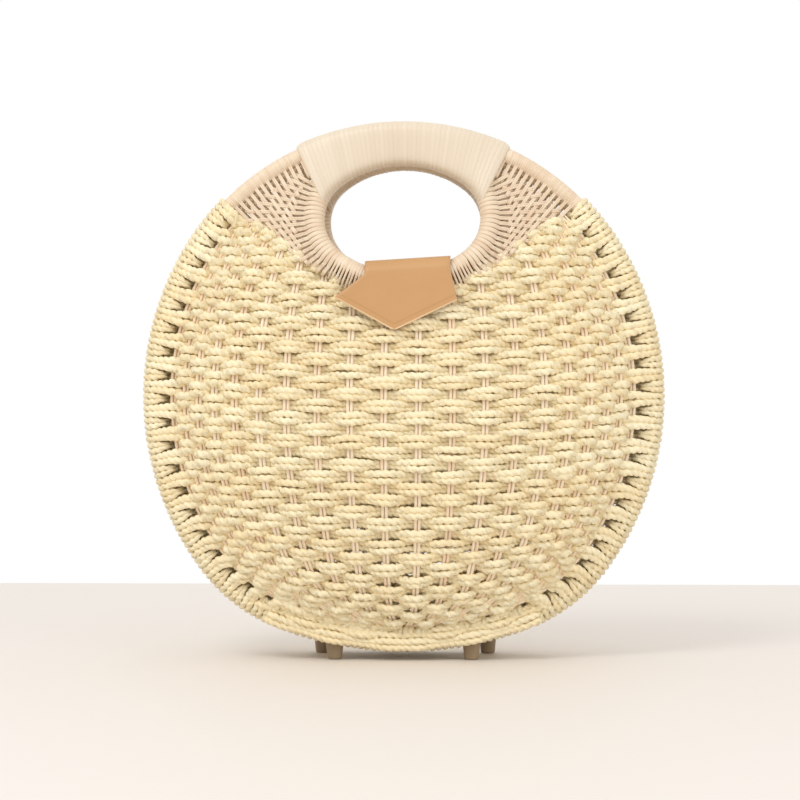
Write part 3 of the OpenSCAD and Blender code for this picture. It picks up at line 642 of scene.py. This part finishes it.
def panel_cords(swap):
    """All cords of one panel, each with its row. The back panel swaps over and under."""
    cords = []
    for r in range(row_count):
        over = {-1: (r + swap) % 2 == 0, 1: (r + swap + stake_pairs - 1) % 2 == 0}
        for sign in (1, -1):
            x, z, path, s = row_cord(r, sign, swap)
            out = {side: round_hoop(s, sign, over[side], r % 2 == 0) * [side, 1, 1, 1] for side in (-1, 1)}
            kept = z < upper_edge_z(x) + stake_top_gap
            if kept.all():
                cords.append((r, laid_cord(out[-1][::-1], path[3:-3], out[1])))
                continue
            for side in (-1, 1):
                half = path[kept & (x * side > 0)][::side][2:-3]
                if len(half) > 5:
                    half = np.concatenate([edge_tail(half[0], side, sign), half[2:]])
                else:
                    half = out[side][:1] + [[-4.0 * side, 6.0, -5.0, 0], [-2.5 * side, 2.0, -3.0, 0]]
                cords.append((r, laid_cord(half, out[side])))
    return cords


def base_lashings():
    """Single cords round the hoop under the last rows, in bunches of three."""
    lashings, first = [], row_station(row_count) - 1.5
    length = rim_ends[-1] - first
    count = int(length / (2 * cord_r))
    for k in range(count):
        s, bunch = first + (k + 0.5) * length / count, (k % 3 - 1) * 2 * cord_r
        for side in (-1, 1):
            cord = round_hoop(s - bunch, 1, True, k // 2 % 2 == 0, bunch)
            lashings.append(laid_cord(cord * [side, 1, 1, 1]))
    return lashings


def base_rows():
    """The last rows lie along the base in front of the lashings, and cover them."""
    rows = []
    for number, inset in enumerate(base_row_insets):
        s = np.arange(row_station(row_count - 2.5) + base_row_step * number, rim_ends[-1], 1.2)
        wave = woven((rim_ends[-1] - s) / base_row_float + number + 0.5)
        start = np.clip((s - s[0]) / base_row_starts, 0, 1)
        reach = (rim_r + base_row_lift + base_row_wave * wave) * np.interp(start, [0, 1], [base_row_low, 1])
        for sign in (-1, 1):
            deep = inset + sign * (base_row_wave + 0.4 * wave)
            y = -hoop_y - np.sqrt(np.maximum(reach**2 - (deep - rim_r) ** 2, 1))
            p = np.concatenate([rim_point(s, deep, y)[0], (0.96 + 0 * s)[:, None]], 1)
            rows.append(laid_cord(p, p[-2::-1] * [-1, 1, 1, 1]))
    return rows


rope_finish, shader, t = new_finish("paper_rope", tint(250, 236, 198), 0.8)
fibre, tuft, patch = grain(t, 900, 5), grain(t, 380, 3), grain(t, 28, 2)
shade = fibre * 0.4 + tuft * 0.5 + own_tone(t) * 0.35 + patch * 0.5 - 0.35
shade = shade.maths("MINIMUM", 1.0).maths("MAXIMUM", 0.0)
shade.mix(tint(240, 215, 164), tint(255, 247, 216)).to(shader, "Base Color")
(fibre * 0.4 + tuft).raises(shader, 0.6, 0.0012)

for side_name, flip, swap in (("front", False, 0), ("back", True, 1)):
    cords = panel_cords(swap)
    cords += [(row_count, strand) for strand in base_lashings() + base_rows()]
    for part, first, end in (("upper", 0, 13), ("middle", 13, 25), ("lower", 25, row_count + 1)):
        group = [strand for r, strand in cords if first <= r < end]
        name = f"{side_name}_{part}_rows"
        piece = wound_piece(name, group, ply_section, rope_finish, ply_pitch, flip, ply_valley_shade)
        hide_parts(f"{side_name}_panel", f"{side_name}_rim_cord", "gusset")

# Corner cane and ring turns
# Split cane fills each corner: pairs from the hoop are woven with pairs from the ring, and slots
# stay open along both rods. Lower down, turns cover the ring, and their tails reach the rope.
cane_w, cane_thick, cane_lift = 1.32, 0.75, 0.55
cane_r, ring_cane_r = hoop_r + 0.75, ring_rod_r + 0.6
hoop_pairs, hoop_span, hoop_slot = 13, (65.8, 44.6), 4.8
ring_pairs, ring_span, ring_slot = 19, (33.0, -54.0), 4.5
hoop_leave, ring_leave = -40, 25  # where round its rod a cane leaves it, in degrees
# Half of the distance between the two canes of a pair: on the hoop, on the ring (in degrees), between
hoop_spread, ring_spread, pair_spread = 0.64, 0.64, 0.46
corner_hollow, over_ring, backing_depth, backing_l = 0.8, 2.3, 2.1, 15
low_turn_start, low_turn_end, low_turn_step, low_turn_stray = -ring_joint - 1.6, -90.1, 1.75, 0.12
low_turn_tail = ((7.6, 1.5), (10.4, -2.5))  # out from the ring's middle, and ahead of it
hoop_pitch = radians(hoop_span[0] - hoop_span[1]) / hoop_pairs * rim_top_r
around = np.radians([0, 38, 90, 142, 180, 218, 270, 322])
up, side = (np.sign(v) * np.abs(v) ** 0.62 for v in (np.cos(around), np.sin(around)))
cane_section = np.stack([cane_thick / 2 * up, cane_w / 2 * side], -1)


def cane(points, ups, widths, mirror):
    """A strand of the right corner, or mirrored to the left, from widths that are shares of its own."""
    widths = np.broadcast_to(widths, (len(points),))[:, None]
    p, up, wide = resampled(points, 0.9, ups, widths)
    return {"points": p * [mirror, 1, 1], "up": up * [mirror, 1, 1], "wide": wide[:, 0], "tone": rng.random()}


def ring_gap(x, z):
    """How far a point of the corner lies from the ring's cane, and that cane's heading there."""
    w = (z - ring_middle[2]) / cos(ring_lean)
    return np.hypot(x - ring_side_cx, w) - ring_side_radius - caned_r, np.arctan2(w, x - ring_side_cx)


def corner_y(x, z):
    """The corner's surface, from the front of the ring out to the front of the hoop."""
    gap, heading = ring_gap(x, z)
    gap, rest = np.maximum(gap, 0), np.maximum(inset_of(x, z) - rim_r - cane_r, 0)
    share = gap / (gap + rest + 1e-6)
    at_ring = ring_middle[1] + (ring_side_radius + caned_r) * np.sin(heading) * sin(ring_lean) - over_ring
    at_hoop = -hoop_y - cane_r * cos(radians(hoop_leave))
    return at_ring + (at_hoop - at_ring) * share - corner_hollow * np.sin(pi * share)


def on_hoop(rim_angle, phi, shift=0.0):
    """A point and the outward direction on a cane turn of the hoop: 0 is its front, 90 its outside."""
    station, c, s = radians(90 - rim_angle) * rim_top_r + shift, cos(radians(phi)), sin(radians(phi))
    p, n = rim_point(station, rim_r - cane_r * s, -hoop_y - cane_r * c)
    return p, n * s + [0, -c, 0]


def on_ring(angle, phis):
    """Points and outward directions of a cane turn on the ring: 0 is its outside, 90 its front."""
    centre, out = ring_place(angle)
    ups = [out * cos(radians(phi)) + ring_front * sin(radians(phi)) for phi in phis]
    return [centre + up * ring_cane_r for up in ups], ups, centre, out


def front_ups(points):
    """The direction to the front, once for each point."""
    return np.tile([0.0, -1.0, 0.0], (len(points), 1))


def across_corner(line, others, number, side, offset, ring_gaps=(-99, 99), hoop_gap=-99):
    """One cane of a pair along its line, over and under the pairs that cross it, to its tucked end."""
    start, heading = line
    crossings = []
    for other, direction in others:
        apart, turned = other - start, heading[0] * direction[1] - heading[1] * direction[0]
        crossings.append((apart[0] * direction[1] - apart[1] * direction[0]) / turned)
    run = np.arange(1.0, 70, 0.9)
    x, z = start[:, None] + heading[:, None] * run
    gap = ring_gap(x, z)[0]
    inside = (z > upper_edge_z(x) - 2.0) & (gap > ring_gaps[0]) & (gap < ring_gaps[1])
    inside &= inset_of(x, z) > rim_r + cane_r + hoop_gap
    n = len(run) if inside.all() else int(np.argmin(inside))
    run, x, z = run[:n], x[:n], z[:n]
    if not n:
        return np.zeros((0, 3))
    wave = side * np.cos(pi * (np.interp(run, crossings, np.arange(len(others))) + number))
    y = corner_y(x, z) - cane_lift * wave
    points = np.stack([x + heading[1] * offset, y, z - heading[0] * offset], -1)
    onward = np.array([heading[0], 0, heading[1]])
    tuck = [points[-1] + onward * 1.2 + [0, 1.6, 0], points[-1] + onward * 2.2 + [0, 3.2, 0]]
    return np.concatenate([points, tuck])


def pair_angles(count, span):
    """The middles of equal steps from one end of a span to the other."""
    return [span[0] + (k + 0.5) / count * (span[1] - span[0]) for k in range(count)]


hoop_angles, ring_angles = pair_angles(hoop_pairs, hoop_span), pair_angles(ring_pairs, ring_span)
hoop_lines = [
    (on_hoop(a, hoop_leave)[0][[0, 2]], -np.array([cos(radians(a)), sin(radians(a))])) for a in hoop_angles
]
ring_lines = []
for angle in ring_angles:
    points, _, _, out = on_ring(angle, [ring_leave])
    ring_lines.append((points[0][[0, 2]], unit(out[[0, 2]])))
# A cane lies wider where it is wound round a rod than where it crosses the corner
fan, turns = [], []
for mirror in (1, -1):
    for number, (angle, line) in enumerate(zip(hoop_angles, hoop_lines)):
        for half in (-1, 1):
            inner = across_corner(line, ring_lines, number, 1, -half * pair_spread, ring_gaps=(ring_slot, 99))
            turn = [on_hoop(angle, phi, half * hoop_spread) for phi in np.arange(hoop_leave, 305, 12)]
            points = np.concatenate([inner[::-1], [p for p, _ in turn]])
            ups = np.concatenate([front_ups(inner), [up for _, up in turn]])
            widths = [0.95] * len(inner) + [1.1] + [1.34] * (len(turn) - 1)
            fan.append(cane(points, ups, widths, mirror))
        # A plain turn of the hoop fills the gap to the next pair
        plain = [on_hoop(angle, phi, hoop_pitch / 2) for phi in range(250, 611, 15)]
        turns.append(cane([p - up * 0.05 for p, up in plain], [up for _, up in plain], 1.4, mirror))
    for number, (angle, line) in enumerate(zip(ring_angles, ring_lines)):
        for half in (-1, 1):
            points, ups, _, _ = on_ring(angle - half * ring_spread, np.arange(310, 20, -15))
            outer = across_corner(line, hoop_lines, number, -1, half * pair_spread, hoop_gap=hoop_slot)
            widths = [1.4] * len(points) + [0.9] * len(outer)
            ups = np.concatenate([ups, front_ups(outer)])
            fan.append(cane(np.concatenate([points, outer]), ups, widths, mirror))
        # One more cane comes from behind the ring and fills the gap between two pairs
        between = line
        if number + 1 < ring_pairs:
            between = [(one + other) / 2 for one, other in zip(line, ring_lines[number + 1])]
        points = across_corner(between, hoop_lines, number, 0, 0, ring_gaps=(-99, backing_l))[:-2]
        if len(points) > 2:
            turns.append(cane(points + [0, backing_depth, 0], front_ups(points), 1.6, mirror))
    for angle in np.arange(low_turn_start, low_turn_end, -low_turn_step):
        points, ups, centre, out = on_ring(angle + rng.normal(0, low_turn_stray), range(330, 40, -14))
        widths = [2.0] * (len(points) - 3) + [1.6, 1.3, 1.1, 0.95, 0.85]
        points += [centre + out * reach + ring_front * ahead for reach, ahead in low_turn_tail]
        turns.append(cane(points, ups + [ring_front, ring_front], widths, mirror))

cane_finish, shader, t = new_finish("split_cane", tint(248, 228, 200), 0.45)
streak = grain(t, 160, 4)
shade = streak * 0.7 + own_tone(t) * 0.4
shade.mix(tint(215, 185, 153), tint(237, 220, 194)).to(shader, "Base Color")
streak.raises(shader, 0.25, 0.0002)
for side_name, flip in bag_sides:
    piece = wound_piece(f"{side_name}_corner_fans", fan, cane_section, cane_finish, flip=flip)
    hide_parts(f"{side_name}_left_corner_weave", f"{side_name}_right_corner_weave")
    piece = wound_piece(f"{side_name}_cane_turns", turns, cane_section, cane_finish, flip=flip)
    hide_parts(f"{side_name}_ring_wrap", f"{side_name}_rim_cane")

# Grips
# Flat cane is wound tightly round hoop and ring together, from one end of the hole to the
# other. The turns lie edge to edge, so the grip looks smooth with fine upright lines.
grip_turns, turn_samples, grip_sides = 44, 6, 44
grip_end_angle, grip_flare, grip_groove, turn_stray = 24, 0.32, 0.22, 0.06
end_sink, end_sink_share, closed_r = 1.4, 0.07, 0.2
top_arc_length = radians(90 - ring_joint) * ring_arc_radius
grip_ring_length = top_arc_length + radians(ring_joint - grip_end_angle) * ring_side_radius


def grip_section(share):
    """Centres on the hoop and on the ring at a share of the grip from its middle to an end."""
    angle = radians(90 - (90 - grip_angle) * share)
    hoop = np.array([rim_top_r * cos(angle), -hoop_y, top_cz + rim_top_r * sin(angle)])
    run = abs(share) * grip_ring_length
    if run < top_arc_length:
        heading = 90 - degrees(run / ring_arc_radius)
    else:
        heading = ring_joint - degrees((run - top_arc_length) / ring_side_radius)
    return hoop, ring_place(heading)[0] * [1 if share >= 0 else -1, 1, 1]


grip_verts, grip_tones = [], []
grip_shares = np.linspace(-1, 1, grip_turns * turn_samples + 1)
grip_shares = np.array([-1, *grip_shares, 1])  # the first and last section close the ends
turn_tones = rng.random(grip_turns + 1)
turn_heights = rng.normal(0, turn_stray, grip_turns + 1)
for row, share in enumerate(grip_shares):
    hoop, ring = grip_section(share)
    hoop_2, ring_2 = grip_section(share + 0.001)
    down = unit(ring - hoop)
    front = unit(np.cross(down, hoop_2 + ring_2 - hoop - ring))
    front *= -np.sign(front[1])
    place = (share + 1) / 2 * grip_turns
    number = min(int(place), grip_turns - 1)
    within = abs(2 * (place - number) - 1)
    sunk = grip_groove * within**8 + turn_heights[number] * (1 - within**4)
    sunk += end_sink * max(0, (abs(share) - 1) / end_sink_share + 1) ** 2
    r_ring = caned_r * (1 + grip_flare * share**4)
    closing = row in (0, len(grip_shares) - 1)
    for a in np.arange(grip_sides) * 2 * pi / grip_sides:
        # Round the hoop on top, round the ring below, and straight between them
        lower = 0.5 - 0.5 * np.tanh(cos(a) * 4.5)
        r = closed_r if closing else rim_r + (r_ring - rim_r) * lower - sunk
        grip_verts.append(hoop + (ring - hoop) * lower + (front * sin(a) - down * cos(a)) * r)
        # Each turn's tone drops near its edges: painted shade in the seams between turns.
        grip_tones.append(turn_tones[number] - 0.5 * within**10)
grip_faces, corners = tube_faces(len(grip_shares), grip_sides)
grip_lies = corners / [len(grip_shares), grip_sides]

grip_finish, shader, t = new_finish("flat_cane", tint(238, 222, 196), 0.4)
lie = t.node("UVMap", {"uv_map": "lie"}, {})
lie = t.node("Mapping", {}, {"Vector": lie, "Scale": (260, 2.2, 1)})
lines = t.node("TexNoise", {}, {"Vector": lie, "Scale": 1.0, "Detail": 4.0})
shade = lines * 0.7 + own_tone(t) * 0.3
shade.mix(tint(216, 199, 174), tint(229, 214, 192)).to(shader, "Base Color")
lines.raises(shader, 0.25, 0.0002)
for side_name, flip in bag_sides:
    piece = new_piece(
        f"{side_name}_grip_turns", grip_verts, grip_faces, grip_finish,
        bakes=grip_lies, lies=grip_lies, tones=grip_tones, flip=flip,
    )
    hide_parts(f"{side_name}_grip_wrap")

# Hoops, rings and gusset rods
# The rods inside are bent rattan, bent round and joined at the base. They only show through
# the gaps of what is wound round them, and their dark brown is painted shade for those gaps.
rod_shade_finish, shader, t = new_finish("rattan_rod_painted_shade", tint(128, 88, 48), 0.6)
rod_grain = grain(t, 90, 4)
rod_grain.mix(tint(98, 62, 30), tint(158, 116, 70)).to(shader, "Base Color")
rod_grain.raises(shader, 0.3, 0.0003)
for node in ("front_hoop", "back_hoop", "front_handle_ring", "back_handle_ring"):
    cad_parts[node].data.materials[0] = rod_shade_finish
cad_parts["gusset_stakes"].data.materials[0] = stake_finish

# Feet
# Four turned pegs of pale wood, each held by a tenon in its hoop. The cords are wound round
# the hoop on either side of them, and a foot's lower edge is eased.
foot_tip_r, foot_top_r, foot_sides = 4.0, 5.5, 28
front_foot_x, back_foot_x, foot_rim_gap = 38.5, 47.5, 1.0
shaded_foot_finish, shader, t = new_finish("turned_wood_painted_shade", tint(196, 172, 136), 0.5)
# The wood's colour is darkened to the shade that the bag casts on the feet: painted shade.
grain(t, 30, 5, (4, 4, 0.5)).mix(tint(128, 108, 82), tint(160, 140, 112)).to(shader, "Base Color")
for name, x, y in (
    ("front_left", -front_foot_x, -hoop_y), ("front_right", front_foot_x, -hoop_y),
    ("back_left", -back_foot_x, hoop_y), ("back_right", back_foot_x, hoop_y),
):
    top = middle_z + base_cz - sqrt((base_radius - rim_r) ** 2 - x**2) - foot_rim_gap
    slope = (foot_top_r - foot_tip_r) / top
    profile = [(0.01, 0), (foot_tip_r - 0.9, 0), (foot_tip_r - 0.35, 0.18), (foot_tip_r - 0.05, 0.7)]
    profile += [(foot_tip_r + slope * h, h) for h in (1.4, 3, 6, 9, top - 0.6)]
    profile += [(foot_top_r - 1, top), (0.01, top)]
    around = np.arange(foot_sides) * 2 * pi / foot_sides
    verts = [(x + r * cos(a), y + r * sin(a), h - middle_z) for r, h in profile for a in around]
    piece = new_piece(f"peg_{name}", verts, tube_faces(len(profile), foot_sides)[0], shaded_foot_finish)
    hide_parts(f"foot_{name}")

# Leather strap and tab
# One piece of tan cowhide is looped round the back ring's bar and riveted to itself. It goes
# over the mouth, bends over the front bar and ends as a pointed tab, with cut raw edges.
bar_y = hoop_y + 2 * ring_half_h * sin(ring_lean)
bar_z = ring_top_z - 2 * ring_half_h * cos(ring_lean)
strap_t, tab_t, lining_t, tab_lean = 1.6, 1.0, 0.6, radians(3.939)
strap_left, strap_right, loop_half_w, lap = 20.3, 27.1, 15, 12
tab_left, tab_left_h, tab_right, tab_right_h, tip_x, tab_h = 37.2, 16.2, 31, 17.9, -3.9, 34.7
seat_gap, fold_sag_left, fold_sag_right = 0.3, 3.4, 0.5
fold_r = caned_r + seat_gap
bar_inner = ring_arc_radius - caned_r
fold_z = bar_z + (bar_inner - sqrt(bar_inner**2 - strap_right**2)) * cos(ring_lean) + seat_gap
loop_rise = ring_arc_radius - sqrt(ring_arc_radius**2 - loop_half_w**2)
loop_r, loop_z = caned_r + seat_gap + loop_rise / 2, bar_z + loop_rise / 2
tail_l = 2.6 * loop_r
strap_slope = np.arctan((fold_z + fold_r - loop_z - loop_r) / (2 * bar_y))


def in_strap(x, y):
    """The strap's own plane: x goes back along it from the loop's middle, and y is up."""
    c, s = cos(strap_slope), sin(strap_slope)
    return np.array([0, bar_y + x * c + y * s, loop_z - x * s + y * c])


mid = strap_t / 2
profile = [(-tail_l - lap, loop_r - mid), (-tail_l - lap / 2, loop_r - mid), (-tail_l, loop_r - mid)]
profile += [(-tail_l * 0.6, loop_r * 0.25), (-loop_r * 0.55, -loop_r * 0.95)]
profile += [((loop_r + mid) * cos(a), (loop_r + mid) * sin(a)) for a in np.radians(range(-100, 91, 10))]
strap_points = [in_strap(x, y) for x, y in profile]
widths = [(loop_half_w, loop_half_w)] * len(profile)
mouth_shares = np.arange(1, 14) / 14
front_x = -2 * bar_y / cos(strap_slope)
for share in mouth_shares:
    strap_points.append(in_strap(front_x * share, loop_r + mid))
    widths.append([loop_half_w + (w - loop_half_w) * share for w in (strap_left, strap_right)])
fold = np.array([0, -bar_y, fold_z])
for a in np.radians(np.arange(90, 177, 6)):
    strap_points.append(fold + (fold_r + mid) * np.array([0, cos(a), sin(a)]))
    widths.append((strap_left, strap_right))
tab_down = np.array([0, -sin(tab_lean), -cos(tab_lean)])
tab_out = np.array([0, -cos(tab_lean), sin(tab_lean)])
tab_start = fold + tab_out * fold_r


def tab_edges(h):
    """How far the tab reaches to the left and to the right at a height down it."""
    left = np.interp(h, [0, tab_left_h, tab_h], [strap_left, tab_left, -tip_x])
    right = np.interp(h, [0, tab_right_h, tab_h], [strap_right, tab_right, tip_x])
    return left, right


def fold_sag(x):
    """How far the leather lies below a level fold; the bar under it is lower towards the middle."""
    return fold_sag_right + (fold_sag_left - fold_sag_right) * (strap_right - x) / (strap_left + strap_right)


def edge_gaps(x, h):
    """Distances from the tab's two lower edges, in centimetres."""
    gaps = []
    for corner_x, corner_h, inward in ((-tab_left, tab_left_h, 1), (tab_right, tab_right_h, -1)):
        dx, dh = tip_x - corner_x, tab_h - corner_h
        gaps.append(((x - corner_x) * dh - (h - corner_h) * dx) * inward / np.hypot(dx, dh) / 10)
    return gaps


def leather_sheet(name, points, edges, thick, heights, sags, finish, body):
    """A sheet along a path, with rounded edges. Heights are counted down the tab from its fold."""
    points = np.array(points)
    t = unit(np.gradient(points, axis=0))
    normal = np.stack([0 * t[:, 0], -t[:, 2], t[:, 1]], -1)
    thick = np.broadcast_to(thick, (len(points),))
    columns = 26
    verts, lies = [], []
    for p, n, (left, right), depth, h, sag in zip(points, normal, edges, thick, heights, sags):
        xs = np.linspace(-left + depth * 0.3, right - depth * 0.3, columns)
        row = [(x, 0.5) for x in xs] + [(right, 0.2), (right, -0.2)]
        row += [(x, -0.5) for x in xs[::-1]] + [(-left, -0.2), (-left, 0.2)]
        for x, level in row:
            verts.append(p + [x, 0, -sag * fold_sag(x)] + n * depth * level)
            lies.append(edge_gaps(x, h))
    sides = 2 * columns + 4
    c = np.arange(columns - 1)
    under = 2 * columns + 1 - c
    end = np.stack([c, c + 1, under - 1, under], -1)
    faces = tube_faces(len(points), sides)[0][:, [0, 3, 2, 1]]
    faces = np.concatenate([faces, end, end[:, ::-1] + (len(points) - 1) * sides])
    return new_piece(name, verts, faces, finish, body, lies=np.array(lies)[faces])


leather_finish, shader, t = new_finish("tan_leather", tint(196, 148, 98), 0.42)
pores, cloud = grain(t, 700, 3), grain(t, 22, 3)
lie = t.node("UVMap", {"uv_map": "lie"}, {})
gap_left, gap_right = (t.node("SeparateXYZ", {}, {0: lie}, out=axis) for axis in "XY")
gap = gap_left.maths("MINIMUM", gap_right)
raw = gap.steps((0.0, 1.0), (0.06, 0.9), (0.1, 0.0))
creased = gap.steps((0.0, 0.0), (0.29, 0.0), (0.335, 1.0), (0.38, 0.0))
hide = (cloud * 0.7 + pores * 0.3 - creased * 0.7).mix(tint(186, 138, 88), tint(204, 158, 108))
raw.mix(hide, tint(232, 198, 154)).to(shader, "Base Color")
(pores - creased * 0.8).raises(shader, 0.25, 0.0002)
heights = np.linspace(0, tab_h - 0.6, 40)
tab_points = [tab_start + tab_down * h + tab_out * (lining_t + tab_t / 2) for h in heights]
widths += [tab_edges(h) for h in heights]
thick = [strap_t] * len(strap_points) + [tab_t] * len(tab_points)
over_mouth = [0.0] * len(profile) + list(mouth_shares**2)
tab_sags = list(np.interp(heights, [0, tab_left_h], [1, 0]))
sags = over_mouth + [1.0] * (len(strap_points) - len(over_mouth)) + tab_sags
down = [-20.0] * len(strap_points) + list(heights)
points = strap_points + tab_points
piece = leather_sheet(
    "closing_leather", points, widths, thick, down, sags, leather_finish, None
)
tuple((np.array([0, -bar_y, fold_z + fold_r + mid + middle_z]) * MM))
tuple((tab_points[1] + [0, 0, middle_z]) * MM)
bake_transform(piece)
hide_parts("closure_strap", "strap_crease", "tab_leather")
suede_finish, shader, t = new_finish("suede_side", tint(206, 170, 126), 0.85)
grain(t, 500, 4).mix(tint(188, 150, 106), tint(222, 190, 148)).to(shader, "Base Color")
lining_points = [tab_start + tab_down * h + tab_out * lining_t / 2 for h in heights]
inner_edges = [tuple(w - 0.25 for w in tab_edges(h)) for h in heights]
piece = leather_sheet(
    "tab_suede", lining_points, inner_edges, lining_t, heights, tab_sags, suede_finish, "tab"
)
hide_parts("tab_lining")

# Rivets and snap
# Two brass rivets hold the strap's loop. The plate of a magnetic snap is set in the tab, and
# its socket stands on the rope, with a post through the weave and a washer behind it.
brass_finish, shader, t = new_finish("brushed_brass", tint(206, 170, 104), 0.32, metallic=1.0)
grain(t, 240, 3).steps((0.0, 0.25), (1.0, 0.42)).to(shader, "Roughness")
for node in ("strap_rivets", "snap_plate", "snap_socket", "snap_washer"):
    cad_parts[node].data.materials[0] = brass_finish
